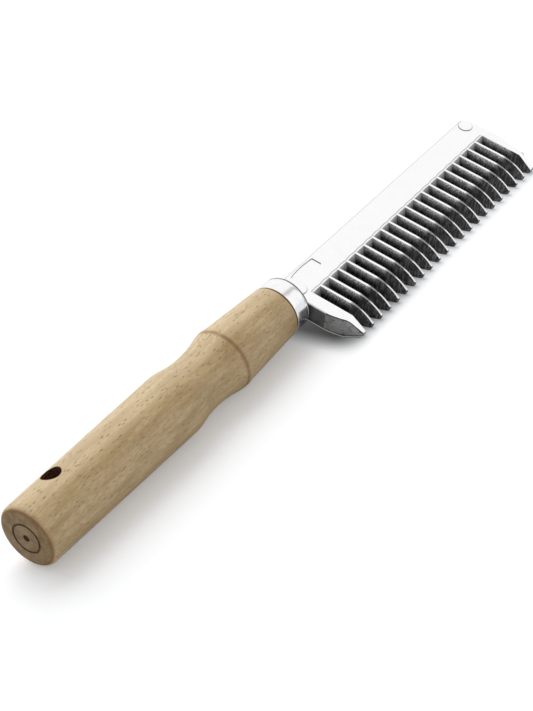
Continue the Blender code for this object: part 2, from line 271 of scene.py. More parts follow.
# %% Floor
FLOOR_SIZE = 4.0
PAPER_COLOUR = (0.82, 0.83, 0.845)
PAPER_ROUGHNESS = 0.9
PAPER_GLOW = (0.26, 0.26, 0.26)
BLACK = (0.0, 0.0, 0.0)
SHADE = 0.84
SHADE_LEFT = (-0.9 * MM, 8.4 * MM)
SHADE_RIGHT = (26.0 * MM, 60.0 * MM)
SHADE_FRONT = (-29.8 * MM, -17.2 * MM)
SHADE_BACK = (4.0 * MM, 16.0 * MM)

bpy.ops.mesh.primitive_plane_add(size=FLOOR_SIZE)
floor = bpy.context.active_object
floor.name = "floor"
paper = Finish("white_paper")
along, across, _ = paper.split(paper.place())
shade = SHADE * along.ramp(*SHADE_LEFT) * (1 - along.ramp(*SHADE_RIGHT))
shade = shade * across.ramp(*SHADE_FRONT) * (1 - across.ramp(*SHADE_BACK))
seen = paper.add("ShaderNodeLightPath", output="Is Camera Ray")
paper.set(
    base_color=paper.mix(shade, PAPER_COLOUR, BLACK),
    roughness=PAPER_ROUGHNESS,
    specular_ior_level=0.0,
    emission_color=paper.mix(seen * (1 - shade), BLACK, PAPER_GLOW),
    emission_strength=1.0,
)
floor.data.materials.append(paper.material)
floor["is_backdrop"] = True
paper.tell()

# %% [markdown]
# The light is that of a white tent. Most of it comes from the world, which is a plain white with
# one wide grey strip overhead: the gap between the tent's two halves. The ferrule shows it as a
# soft grey band. Camera rays see the world as plain white.

# %% World
WORLD_LEVEL = 0.56
STRIP_LEVEL = 0.5
STRIP_EDGES = (0.03, 0.16)
STRIP_ANGLE = math.radians(113)

scene = bpy.context.scene
scene.view_settings.view_transform = "Standard"
scene.world = bpy.data.worlds.new("white_tent")
tent = Finish("white_tent", scene.world)
direction = tent.add("ShaderNodeTexCoord", output="Generated")
across_strip = (0.0, -math.sin(STRIP_ANGLE), math.cos(STRIP_ANGLE))
from_strip = tent.add("ShaderNodeVectorMath", {"operation": "DOT_PRODUCT"},
                      {0: direction, 1: across_strip}, output="Value")
strip = STRIP_LEVEL + (1 - STRIP_LEVEL) * abs(from_strip).ramp(*STRIP_EDGES)
glossy, transmitted, seen = [tent.add("ShaderNodeLightPath", output=ray)
                             for ray in ("Is Glossy Ray", "Is Transmission Ray", "Is Camera Ray")]
lit = WORLD_LEVEL + (1 - WORLD_LEVEL) * glossy.larger(transmitted)
tent.set(color=(1.0, 1.0, 1.0), strength=(strip * lit).larger(seen))
tent.tell()

# %% [markdown]
# The shadow in the photograph falls towards the teeth and is soft, so one large lamp stands behind
# the comb and above it. The lamp is the bright part of the tent's cloth, and the cloth reflects as
# plain white all over, so the metal mirrors the world and not the lamp: otherwise its polished side
# would clip.

# %% Lamp
LAMP_DIRECTION = Vector((0.38, 0.68, 0.89))
LAMP_DISTANCE = 1.2
LAMP_SIZE = 1.2
LAMP_WATTS = 13.0

lamp_data = bpy.data.lights.new("tent_lamp", "AREA")
lamp_data.shape = "SQUARE"
lamp_data.size = LAMP_SIZE
lamp_data.energy = LAMP_WATTS
lamp = bpy.data.objects.new("tent_lamp", lamp_data)
scene.collection.objects.link(lamp)
lamp.location = LAMP_DIRECTION.normalized() * LAMP_DISTANCE
lamp.rotation_euler = LAMP_DIRECTION.to_track_quat("Z", "Y").to_euler()
lamp.visible_glossy = False
print("lamp at", [round(v, 2) for v in lamp.location])

# %% [markdown]
# The finishes of the casting follow its shape, so its main sizes come first. A thin tooth is
# straight for half its length, and then its upper edge curves down to the tip in an arc, its nose.
# The radius of that arc follows from its run and its drop. Reach is the distance from the root line
# of the teeth, and depth is how far a point lies under the upper edge of its tooth.

# %% Casting: sizes
PITCH = 4.69 * MM
TEETH = 20
TOOTH_LENGTH = 19.3 * MM
TOOTH_THICKNESS = 1.4 * MM
RIDGE_WIDTH = 0.8 * MM
THIN_STRAIGHT = 10.3 * MM
THIN_TIP = 0.4 * MM
HALF_THICKNESS = 3.4 * MM
SPINE_WIDTH = 10.0 * MM
ROOT_Y = -5.4 * MM
BACK_Y = ROOT_Y + SPINE_WIDTH
NECK_X = 3.3 * MM
NEAR_FACE_X = 7.1 * MM
NEAR_WIDTH = 4.55 * MM
FAR_WIDTH = 3.85 * MM
SLOT = PITCH - RIDGE_WIDTH
DRAFT = (TOOTH_THICKNESS - RIDGE_WIDTH) / 2
NEAR_INNER_X = NEAR_FACE_X + NEAR_WIDTH
FIRST_SLOT_X = NEAR_INNER_X + SLOT / 2
LAST_SLOT_X = FIRST_SLOT_X + TEETH * PITCH
FAR_FACE_X = LAST_SLOT_X + SLOT / 2 + FAR_WIDTH
FAR_INNER_X = FAR_FACE_X - FAR_WIDTH
END_STRAIGHT = 14.2 * MM
END_TIP = 0.45 * MM
UNDER_TIP = 1.45 * MM
RAMP_LENGTH = 0.85 * MM
RAMP_DROP = 0.14 * MM
CORNER_RADIUS = 3.2 * MM
SKEW = 0.004
DISC_RADIUS = 2.3 * MM
DISC_PLACES = ((FAR_FACE_X - 3.6 * MM, BACK_Y - 3.1 * MM), (10.2 * MM, -1.5 * MM))

NOSE_STARTS = (10.6 * MM, 11.6 * MM)
nose_run = TOOTH_LENGTH - THIN_STRAIGHT - THIN_TIP
nose_drop = HALF_THICKNESS - THIN_TIP
NOSE_SWEEP = 2 * math.atan(nose_drop / nose_run)
NOSE_RADIUS = nose_run / math.sin(NOSE_SWEEP)


def skew(x, y):
    """How far a point of the casting is moved, because the row of teeth isn't quite square."""
    share = min(1.0, max(0.0, (BACK_Y - y) / SPINE_WIDTH))
    return SKEW * max(0.0, x - NEAR_FACE_X) * share


def on_casting(finish):
    """Where a point of the casting lies: the place, its X, reach and height, and its depth."""
    spot = finish.place()
    along, across, height = finish.split(spot)
    reach = ROOT_Y - across + (along - NEAR_FACE_X).larger(0.0) * SKEW
    past_bend = (reach - THIN_STRAIGHT).larger(0.0)
    from_centre = (past_bend ** 2.0 + (abs(height) + (NOSE_RADIUS - HALF_THICKNESS)) ** 2.0).root()
    return spot, along, reach, height, NOSE_RADIUS - from_centre


print("radius of a nose", round(NOSE_RADIUS / MM, 2), "mm")

# %% [markdown]
# The upper side of the casting has been ground flat and polished after it left the mould, so it is
# almost white. It isn't a mirror: fine scratches run along the comb, where the belt passed, and
# they blur what it reflects. Noise that is stretched along X gives these scratches, in the
# roughness and as a very small bump. The belt hardly reached the thin ridges just after their
# bend, so they are a worn grey there.

# %% Polished casting: the metal
POLISHED_COLOUR = (0.985, 0.985, 0.985)
CLOUDED_COLOUR = (0.97, 0.97, 0.972)
WORN_AND_SHADE_GREY = (0.20, 0.20, 0.205)
PAINTED_SHADE_COLOUR = (0.10, 0.10, 0.105)
SCRATCH_STRETCH = 0.06
SCRATCH_DEPTH = 0.004 * MM
TEETH_X = (NEAR_INNER_X, FAR_INNER_X, 0.2 * MM)
MISSED_REACH = (11.0 * MM, 14.6 * MM, 1.4 * MM)

polished = Finish("polished_casting")
spot, along, reach, _, _ = on_casting(polished)
across = polished.split(spot)[1]
scratches = polished.noise(polished.stretched(spot, SCRATCH_STRETCH, 1.0, 1.0), scale=9000.0, detail=3.0)
clouds = polished.noise(spot, scale=260.0, detail=3.0)
specks = polished.noise(spot, scale=2600.0, detail=2.0)
metal = polished.mix(clouds.ramp(0.35, 0.75), POLISHED_COLOUR, CLOUDED_COLOUR)
among_teeth = window(along, *TEETH_X)
missed = window(reach, *MISSED_REACH) * among_teeth
metal = polished.mix(missed * (0.55 + 0.6 * specks), metal, WORN_AND_SHADE_GREY)
polished.tell()

# %% [markdown]
# A few more things darken it, all painted shade at edges and corners. A fine grey line runs where the chamfer
# between the teeth meets the flat side, and a fainter one along the back edge. The far end tooth has such a
# line along its outer edge, and a grey patch where it bends. And painted shade sits in the corner around each
# of the two discs. Specks break up all of these, since none of them is even on the real comb.

# %% Polished casting: painted shade lines and corners
ROOT_LINE = (-0.56 * MM, -0.34 * MM, 0.07 * MM)
SCALLOP = 0.25 * MM
BACK_LINE = (BACK_Y - 0.46 * MM, BACK_Y - 0.32 * MM, 0.06 * MM)
FAR_LINE = (FAR_FACE_X - 0.66 * MM, FAR_FACE_X - 0.24 * MM, 0.12 * MM)
FAR_LINE_REACH = (6.0 * MM, END_STRAIGHT)
FAR_CREASE = (END_STRAIGHT - 0.2 * MM, END_STRAIGHT + 1.0 * MM, 0.4 * MM)
FAR_CREASE_X = (FAR_FACE_X - 2.8 * MM, FAR_FACE_X - 1.6 * MM)
DISC_CORNER = (DISC_RADIUS - 0.02 * MM, DISC_RADIUS + 0.16 * MM, 0.08 * MM)

# Painted shade: a fine grey line along the crease at the roots of the teeth, and a fainter one along the back
# edge.
scallop = abs(((along - FIRST_SLOT_X) * (math.pi / PITCH)).math("COSINE")) * SCALLOP
root_line = window(reach + scallop, *ROOT_LINE) * among_teeth
back_line = window(across, *BACK_LINE)
lines = root_line * (0.45 + 0.7 * specks) + back_line * (0.25 + 0.7 * specks)
metal = polished.mix(lines, metal, WORN_AND_SHADE_GREY)
# Painted shade: a grey line along the far tooth's outer edge, and a grey patch where it bends.
far_line = window(along, *FAR_LINE) * reach.ramp(*FAR_LINE_REACH)
far_crease = window(reach, *FAR_CREASE) * along.ramp(*FAR_CREASE_X)
metal = polished.mix(far_line.larger(far_crease) * (0.4 + 0.9 * specks), metal, WORN_AND_SHADE_GREY)
# Painted shade in the corner around each disc.
for disc_x, disc_y in DISC_PLACES:
    from_disc = ((along - disc_x) ** 2.0 + (across - disc_y - skew(disc_x, disc_y)) ** 2.0).root()
    metal = polished.mix(window(from_disc, *DISC_CORNER) * (0.1 + 0.9 * specks), metal, PAINTED_SHADE_COLOUR)
polished.set(
    base_color=metal,
    metallic=1 - 0.5 * reach.ramp(*NOSE_STARTS) * among_teeth,
    roughness=0.2 + 0.12 * scratches + 0.06 * clouds,
    normal=polished.bump(scratches, SCRATCH_DEPTH),
)
polished.tell()

# %% [markdown]
# Between the teeth the metal is as it left the mould: dull, grainy and much darker. It is darkened further
# with depth under the ridge, darkest in the middle plane, as painted shade of the narrow gaps. Grinding the
# flat side has smeared bright metal a little way over the edges, in ragged patches that hang down from the
# ridge in the middle of each tooth. So the colour follows the depth: smeared metal first, then grey skin that
# fades into painted shade. Past the bend there is no smear, and a dark line of painted shade lies under the
# ridge.

# %% Cast skin: between the teeth
TOP_SKIN = (0.50, 0.50, 0.505)
DARK_SKIN_AND_SHADE = (0.022, 0.022, 0.023)
NOSE_SKIN = (0.10, 0.10, 0.102)
STREAK_COLOUR = (0.44, 0.44, 0.445)
SMEAR_AND_HIGHLIGHT_COLOUR = (0.95, 0.95, 0.955)
SKIN_SHADE_DEPTH = (0.2 * MM, 2.9 * MM)
HANGING_DEPTH = 1.6 * MM
NOSE_REACH = (10.4 * MM, 12.6 * MM)
NOSE_STREAK_REACH = (10.4 * MM, 12.0 * MM)
GRAIN_DEPTH = 0.06 * MM
UNDER_RIDGE_DEPTH = (0.07 * MM, 0.42 * MM, 0.1 * MM)
SMEAR_FALL = 0.16 / MM
SMEAR_REACH = (1.8 * MM, 10.8 * MM, 2.4 * MM)

skin = Finish("cast_skin")
spot, along, reach, height, depth = on_casting(skin)
grain = skin.noise(spot, scale=3600.0, detail=4.0, roughness=0.65)
hanging = skin.noise(skin.stretched(spot, 0.5, 1.0, 0.35), scale=1700.0, detail=3.0, roughness=0.6)
streaks = skin.noise(skin.stretched(spot, 1.0, 1.0, 0.12), scale=1900.0, detail=2.0)
mottled = skin.noise(skin.stretched(spot, 1.0, 0.5, 1.0), scale=900.0, detail=3.0, roughness=0.6)
flecks = skin.noise(skin.stretched(spot, 1.0, 1.0, 0.7), scale=3000.0, detail=2.0, roughness=0.6)
# Painted shade: the skin darkens with depth under the ridge.
depth_shade = (depth + (hanging - 0.5) * HANGING_DEPTH).ramp(*SKIN_SHADE_DEPTH)
nose = reach.ramp(*NOSE_STREAK_REACH)
smear = (flecks + 0.13 - depth * SMEAR_FALL).ramp(0.52, 0.58) * window(reach, *SMEAR_REACH)

dull = skin.mix(depth_shade, TOP_SKIN, DARK_SKIN_AND_SHADE)
dull = skin.mix(reach.ramp(*NOSE_REACH), dull, NOSE_SKIN)
# Painted shade: a dark line under the ridge past the bend.
under_ridge_shade = window(depth, *UNDER_RIDGE_DEPTH) * reach.ramp(*NOSE_STARTS)
dull = skin.mix(0.85 * under_ridge_shade, dull, DARK_SKIN_AND_SHADE)
dull = skin.mix(streaks.ramp(0.42, 0.68) * (0.25 + 0.35 * nose), dull, STREAK_COLOUR)
dull = skin.mix(0.55 * mottled.ramp(0.45, 0.70), dull, DARK_SKIN_AND_SHADE)
dull = skin.mix(smear, dull, SMEAR_AND_HIGHLIGHT_COLOUR)
skin.tell()

# %% [markdown]
# The outer side of the near end tooth has two parts. Beside the ferrule it is bare cast skin, and from there
# to the tip it was dressed with a file, which left it lighter. Along its upper edge the filed part has a line
# of painted shade. Along its lower edge runs a pale lip, a painted highlight, with a dark line of painted
# shade over it. Both follow the slope of the underside, so they are measured from below.

# %% Cast skin: the outer side of the near end tooth
ROUGH_SIDE = (0.19, 0.19, 0.192)
FILED_SIDE = (0.385, 0.385, 0.39)
FILE_MARK = (0.55, 0.55, 0.56)
OUTSIDE_X = (NEAR_INNER_X - 0.5 * MM, NEAR_INNER_X - 0.2 * MM)
FILED_REACH = (7.5 * MM, 8.1 * MM)
TOP_LINE = (-0.3 * MM, 0.36 * MM, 0.1 * MM)
LIP_HEIGHT = (0.26 * MM, 0.62 * MM, 0.12 * MM)
OVER_LIP = (0.7 * MM, 1.0 * MM, 0.14 * MM)

past_straight = (reach - END_STRAIGHT).larger(0.0)
top_slope = (HALF_THICKNESS - END_TIP) / (TOOTH_LENGTH - END_TIP - END_STRAIGHT)
under_slope = (HALF_THICKNESS - UNDER_TIP) / (TOOTH_LENGTH - END_STRAIGHT)
from_top = HALF_THICKNESS - height - past_straight * top_slope
from_below = height + HALF_THICKNESS - past_straight * under_slope
outside = 1 - along.ramp(*OUTSIDE_X)
filed = reach.ramp(*FILED_REACH)
file_marks = skin.noise(skin.stretched(spot, 0.3, 0.25, 1.0), scale=2600.0, detail=3.0)
# Painted highlight: a pale lip along the lower edge.
lip_highlight = window(from_below, *LIP_HEIGHT)

outer = skin.mix(filed, ROUGH_SIDE, FILED_SIDE)
# Painted shade: a dark line along the upper edge of the filed part.
outer = skin.mix(filed * window(from_top, *TOP_LINE), outer, DARK_SKIN_AND_SHADE)
outer = skin.mix(0.5 * filed * file_marks.ramp(0.45, 0.75), outer, FILE_MARK)
outer = skin.mix(0.6 * mottled.ramp(0.5, 0.7), outer, DARK_SKIN_AND_SHADE)
# Painted shade over the lip, then the lip itself as a painted highlight.
outer = skin.mix(0.8 * window(from_below, *OVER_LIP), outer, DARK_SKIN_AND_SHADE)
outer = skin.mix(0.75 * lip_highlight, outer, SMEAR_AND_HIGHLIGHT_COLOUR)

inner_metal = (0.85 - 0.45 * (1 - depth_shade) * (1 - nose) - 0.2 * nose) * (1 - smear)
skin.set(
    base_color=skin.mix(outside, dull, outer),
    metallic=inner_metal * (1 - outside) + outside * (0.85 - 0.8 * lip_highlight),
    roughness=0.55 - 0.2 * smear + 0.1 * grain,
    normal=skin.bump(grain + 0.8 * hanging, GRAIN_DEPTH),
)
skin.tell()

# %% [markdown]
# The floor of each gap, between the roots of two teeth, faces the tips, and the drawing of the mould has
# rubbed it lighter than the sides. It is darker towards the middle plane, as painted shade deep in the gap.
# The walls of the pocket and of the discs are painted dark, as painted shade.

# %% Rubbed skin
RUBBED_BRIGHT = (0.94, 0.94, 0.945)
RUBBED_GREY = (0.58, 0.58, 0.585)
RUBBED_MIDDLE_SHADE = (0.34, 0.34, 0.342)
RUBBED_HEIGHT = (0.6 * MM, 2.9 * MM)
RUBBED_DEPTH = 0.04 * MM
FLAT_SIDE_REACH = (-RAMP_LENGTH - 0.4 * MM, -RAMP_LENGTH)

rubbed = Finish("rubbed_skin")
spot, _, reach, height, _ = on_casting(rubbed)
grain = rubbed.noise(rubbed.stretched(spot, 1.0, 1.0, 0.3), scale=3000.0, detail=3.0, roughness=0.6)
pale = rubbed.mix(grain.ramp(0.35, 0.68), RUBBED_BRIGHT, RUBBED_GREY)
# Painted shade: the floor of the gap is darker towards the middle plane.
pale = rubbed.mix(abs(height).ramp(*RUBBED_HEIGHT), RUBBED_MIDDLE_SHADE, pale)
# Painted shade: the walls of the pocket and of the discs are painted dark.
on_flat_side = 1 - reach.ramp(*FLAT_SIDE_REACH)
rubbed.set(
    base_color=rubbed.mix(on_flat_side, pale, PAINTED_SHADE_COLOUR),
    metallic=0.35,
    roughness=0.5 + 0.1 * grain,
    normal=rubbed.bump(grain, RUBBED_DEPTH),
)
rubbed.tell()

# %% [markdown]
# The ferrule is a drawn ring with a bright plating. Its scratches run around it, as it was polished
# while it turned, so the noise is stretched the other way and is much finer than on the casting.
# From the groove on, the front lip is painted almost black and not metallic: painted shade of the gap beside
# the comb.

# %% Plated ferrule
PLATED_BRIGHT = (0.96, 0.96, 0.97)
PLATED_SMUDGED = (0.90, 0.90, 0.92)
LIP_SHADE = (0.04, 0.04, 0.042)
LIP_SHADE_X = (5.78 * MM, 5.92 * MM)
TURNING_STRETCH = 0.05
TURNING_DEPTH = 0.002 * MM

plated = Finish("plated_ferrule")
spot = plated.place()
around = plated.stretched(spot, 1.0, TURNING_STRETCH, TURNING_STRETCH)
turning = plated.noise(around, scale=9000.0, detail=2.0)
smudges = plated.noise(spot, scale=380.0, detail=3.0)
bright = plated.mix(smudges.ramp(0.4, 0.8), PLATED_BRIGHT, PLATED_SMUDGED)
# Painted shade: from the groove on, the lip is painted almost black.
lip_shade = 0.92 * plated.split(spot)[0].ramp(*LIP_SHADE_X)
plated.set(
    base_color=plated.mix(lip_shade, bright, LIP_SHADE),
    metallic=1 - lip_shade,
    roughness=0.14 + 0.1 * smudges + 0.05 * turning,
    normal=plated.bump(turning, TURNING_DEPTH),
)
plated.tell()

# %% [markdown]
# Beech is pale, with long soft streaks along the grain and many short dark dashes, which are its rays. The
# wood is one solid: the streaks and dashes are made in all three directions and the surface cuts through
# them, so they run on around the handle and show as dots on the end. The growth rings are circles around a
# pith that lies well outside the handle. The side towards the back of the comb, which faces the lamp, is
# painted paler and greyer as a painted sheen, and its border is ragged.

# %% Beech: the plain wood
BEECH_PALE = (0.62, 0.465, 0.25)
BEECH_DEEP = (0.42, 0.275, 0.115)
BEECH_RAY = (0.17, 0.10, 0.035)
LIT_SIDE_SHEEN = (0.70, 0.57, 0.37)
LIT_SIDE_Y = (-1.6 * MM, -0.2 * MM)
RAGGED_LONG = 5.0 * MM
RAGGED_FINE = 1.5 * MM
PITH_Y = 34.0 * MM
PITH_Z = -22.0 * MM
RING_WIDTH = 2.3 * MM
RING_WANDER = 4.0 * MM

beech = Finish("beech")
spot = beech.place()
along, across, height = beech.split(spot)
streaks = beech.noise(beech.stretched(spot, 0.14, 1.0, 1.0), scale=420.0, detail=4.0, roughness=0.6)
fine = beech.noise(beech.stretched(spot, 0.22, 1.0, 1.0), scale=2400.0, detail=3.0, roughness=0.6)
wander = beech.noise(beech.stretched(spot, 0.12, 1.0, 1.0), scale=90.0, detail=2.0)
pith = ((across - PITH_Y) ** 2.0 + (height - PITH_Z) ** 2.0).root()
rings = ((pith + wander * RING_WANDER) * (2 * math.pi / RING_WIDTH)).math("SINE")
dash_place = beech.stretched(spot, 0.24, 1.0, 1.0)
dash_cells = beech.add("ShaderNodeTexVoronoi", {"feature": "F1"}, {"Vector": dash_place, "Scale": 1500.0})
dash_field = beech.noise(beech.stretched(spot, 0.4, 1.0, 1.0), scale=420.0, detail=2.0)
dashes = (1 - dash_cells.ramp(0.14, 0.32)) * dash_field.ramp(0.32, 0.56)
# Painted sheen: the side towards the back of the comb is painted paler and greyer, with a ragged border.
ragged = across + (streaks - 0.5) * RAGGED_LONG + (fine - 0.5) * RAGGED_FINE
on_lit_side = ragged.ramp(*LIT_SIDE_Y)

wood = beech.mix(streaks.ramp(0.32, 0.70), BEECH_PALE, BEECH_DEEP)
wood = beech.mix(0.25 * rings.ramp(0.35, 1.0) + 0.6 * fine.ramp(0.40, 0.66), wood, BEECH_DEEP)
wood = beech.mix(0.3 * on_lit_side, wood, LIT_SIDE_SHEEN)
wood = beech.mix(dashes * (0.55 + 0.4 * on_lit_side), wood, BEECH_RAY)
beech.tell()

# %% [markdown]
# The lathe has left its own marks. A hot wire or a hard tool has burnished a thin brown line at the collar
# and a ring around the butt's end face, and the end grain is greyer than the sides. The ring groove and the
# centre hole on the end face, and the wall of the drilled hole, are darkened almost to black. Each of these
# is a mask on the place. The wax gives a clear coat, but not in the burnt, darkened and bare places.

# %% Beech: the marks of lathe and drill
END_GRAIN = (0.27, 0.18, 0.09)
BURNISHED = (0.24, 0.105, 0.03)
NEAR_BLACK_BROWN = (0.035, 0.012, 0.006)
DARK_RED_BROWN = (0.13, 0.05, 0.028)
FIBRE_DEPTH = 0.03 * MM
CREASE_X = -26.0 * MM
CREASE_MARK_X = CREASE_X - 0.25 * MM
CREASE_FADE = (0.1 * MM, 1.1 * MM)
FERRULE_MARK_X = (-0.45 * MM, -0.1 * MM)
BUTT_X = -111.0 * MM
BUTT_RADIUS = 9.6 * MM
END_FACE_X = (BUTT_X + 0.25 * MM, BUTT_X + 0.65 * MM)
RIM = (BUTT_RADIUS - 1.3 * MM, BUTT_RADIUS - 0.5 * MM, 0.8 * MM)
RIM_X = (BUTT_X + 0.8 * MM, BUTT_X + 1.4 * MM)
RING_MARK = (4.15 * MM, 4.85 * MM, 0.12 * MM)
CENTRE_MARK = (0.9 * MM, 1.25 * MM)
CENTRE_MARK_X = (BUTT_X + 4.0 * MM, BUTT_X + 5.0 * MM)
HOLE_X = BUTT_X + 15.6 * MM
HOLE_RADIUS = 3.0 * MM
HOLE_TURN = math.radians(57)
HOLE_WALL = (HOLE_RADIUS + 0.02 * MM, HOLE_RADIUS + 0.16 * MM)

at_crease = 1 - abs(along - CREASE_MARK_X).ramp(*CREASE_FADE)
at_ferrule = along.ramp(*FERRULE_MARK_X)
wood = beech.mix(0.75 * at_crease * (0.5 + 0.8 * streaks) + 0.8 * at_ferrule, wood, BURNISHED)
end_face = 1 - along.ramp(*END_FACE_X)
wood = beech.mix(0.9 * end_face, wood, beech.mix(streaks.ramp(0.35, 0.65), END_GRAIN, BEECH_RAY))
from_axis = (across ** 2.0 + height ** 2.0).root()
at_rim = window(from_axis, *RIM) * (1 - along.ramp(*RIM_X))
wood = beech.mix(0.6 * at_rim, wood, BURNISHED)
# The ring groove, the centre hole and, below, the wall of the drilled hole are darkened almost to black.
in_ring = window(from_axis, *RING_MARK) * end_face
in_centre = (1 - from_axis.ramp(*CENTRE_MARK)) * (1 - along.ramp(*CENTRE_MARK_X))
lathe_marks = (0.85 * in_ring).larger(in_centre)
wood = beech.mix(lathe_marks, wood, NEAR_BLACK_BROWN)

hole_across = height * math.cos(HOLE_TURN) - across * math.sin(HOLE_TURN)
hole_distance = ((along - HOLE_X) ** 2.0 + hole_across ** 2.0).root()
in_hole = 1 - hole_distance.ramp(*HOLE_WALL)
wood = beech.mix(in_hole, wood, beech.mix(fine.ramp(0.45, 0.55), NEAR_BLACK_BROWN, DARK_RED_BROWN))
beech.set(
    base_color=wood,
    roughness=0.40 + 0.16 * fine + 0.25 * end_face,
    specular_ior_level=0.5,
    coat_weight=0.5 * (1 - lathe_marks.larger(in_hole).larger(at_crease).larger(end_face)),
    coat_roughness=0.4,
    normal=beech.bump(fine - 0.8 * dashes, FIBRE_DEPTH),
)
beech.tell()

# %% [markdown]
# Every new piece is modelled by hand: a primitive is added, and edit mode shapes it. begin adds a
# primitive and opens it. pick selects in code what a hand would click on, by where it lies or by
# the way it faces. A face is square on to a direction where its normal is within about 25 degrees
# of it, which is 0.9 as a cosine.

# %% Modelling helpers: one piece in hand
TINY = 0.01 * MM
SQUARE_ON = 0.9


def leave_editing():
    """Back to object mode with nothing selected, because an operator acts on all that is selected."""
    if bpy.context.mode != "OBJECT":
        bpy.ops.object.mode_set(mode="OBJECT")
    bpy.ops.object.select_all(action="DESELECT")


def take(piece):
    """Makes one piece the only selected one, and the active one, in object mode."""
    leave_editing()
    piece.select_set(True)
    bpy.context.view_layer.objects.active = piece


def begin(name, add, **how):
    """Adds one primitive at its size and place, names it and opens it for editing."""
    leave_editing()
    add(**how)
    piece = bpy.context.active_object
    piece.name = name
    piece.data.name = name
    bpy.ops.object.transform_apply(location=True, rotation=True, scale=True)
    bpy.ops.object.mode_set(mode="EDIT")
    bpy.ops.mesh.select_mode(type="VERT")
    bpy.ops.mesh.select_all(action="SELECT")
    return piece


def centre(item):
    """The middle of a vertex, an edge or a face."""
    corners = [item] if isinstance(item, bmesh.types.BMVert) else item.verts
    return sum((corner.co for corner in corners), Vector()) / len(corners)


def pick(kind, test):
    """Selects what passes the test: the vertices, edges or faces of the piece in hand."""
    bpy.ops.mesh.select_mode(type=kind)
    bpy.ops.mesh.select_all(action="DESELECT")
    mesh = bpy.context.edit_object.data
    shape = bmesh.from_edit_mesh(mesh)
    items = {"VERT": shape.verts, "EDGE": shape.edges, "FACE": shape.faces}[kind]
    picked = [item for item in items if test(item)]
    for item in picked:
        item.select_set(True)
    shape.select_flush_mode()
    bmesh.update_edit_mesh(mesh)
    return len(picked)


def near(value, target, reach=TINY):
    return abs(value - target) < reach


def move(x=0.0, y=0.0, z=0.0):
    bpy.ops.transform.translate(value=(x, y, z))


def extrude(x=0.0, y=0.0, z=0.0):
    bpy.ops.mesh.extrude_region_move(TRANSFORM_OT_translate={"value": (x, y, z)})


print("the helpers for one piece in hand are ready")

# %% [markdown]
# A turned piece is a ring of points that is pulled along X from station to station. A station is a
# place and a radius, so a list of them is the profile that a turner would draw. A round edge in
# such a profile is a short arc of stations.

# %% Modelling helpers: turned pieces
def turned(name, stations, points):
    """A ring of points that is pulled through (x, radius) stations along the X axis."""
    x, radius = stations[0]
    piece = begin(name, bpy.ops.mesh.primitive_circle_add, vertices=points, radius=radius,
                  location=(x, 0, 0), rotation=(0, math.pi / 2, 0))
    for next_x, next_radius in stations[1:]:
        extrude(x=next_x - x)
        share = next_radius / radius
        bpy.ops.transform.resize(value=(1, share, share), center_override=(next_x, 0, 0))
        x, radius = next_x, next_radius
    return piece


def arc(centre_x, centre_radius, size, start, end, steps):
    """Stations along a round edge of a turned piece, with the angles in degrees."""
    stations = []
    for step in range(steps + 1):
        angle = math.radians(start + (end - start) * step / steps)
        stations.append((centre_x + size * math.cos(angle), centre_radius + size * math.sin(angle)))
    return stations


def profile(x, radius, offsets):
    """Stations around one place, from a small table of (x, radius) offsets in millimetres."""
    return [(x + more_x * MM, radius + more_radius * MM) for more_x, more_radius in offsets]


print("the helpers turned, arc and profile are ready")

# %% [markdown]
# A modifier is applied at once here, so that the next step works on its result. carve uses one to
# cut a tool out of a piece or to join it on. finish_piece comes last: it lays the piece down in
# its place and shades its round surfaces smooth.

# %% Modelling helpers: modifiers and the last steps
def use_modifier(piece, kind, **settings):
    """Adds one modifier and applies it at once."""
    modifier = piece.modifiers.new(kind.lower(), kind)
    for name, value in settings.items():
        setattr(modifier, name, value)
    bpy.context.view_layer.objects.active = piece
    bpy.ops.object.modifier_apply(modifier=modifier.name)


def carve(piece, tool, operation):
    """Cuts the tool out of the piece, or joins it to it, and removes the tool."""
    use_modifier(piece, "BOOLEAN", object=tool, operation=operation, solver="EXACT")
    bpy.data.objects.remove(tool)


def tidy_mesh():
    """Merges doubles and turns every face outwards."""
    bpy.ops.mesh.select_mode(type="VERT")
    bpy.ops.mesh.select_all(action="SELECT")
    bpy.ops.mesh.remove_doubles(threshold=TINY / 4)
    bpy.ops.mesh.normals_make_consistent(inside=False)


def finish_piece(piece, smooth_angle):
    """Lays the piece down in its place in the world and shades its round surfaces smooth."""
    take(piece)
    piece.matrix_world = LAY_DOWN
    bpy.ops.object.transform_apply(location=True, rotation=True, scale=True)
    bpy.ops.object.shade_smooth_by_angle(angle=math.radians(smooth_angle))
    print(piece.name, len(piece.data.polygons), "faces")


print("the helpers use_modifier, carve, tidy_mesh and finish_piece are ready")

# %% [markdown]
# The handle is one turned piece of beech. A lathe makes it by moving a tool along a spinning
# blank, and the ring of points that is pulled along X does the same. It starts at the end of the
# tenon, which fits inside the ferrule, steps out to the shoulder, widens to the collar, dips to a
# waist and swells into the grip. The dips are curves and not arcs: a power of the distance makes
# the wood leave the collar steeply and reach the waist level.

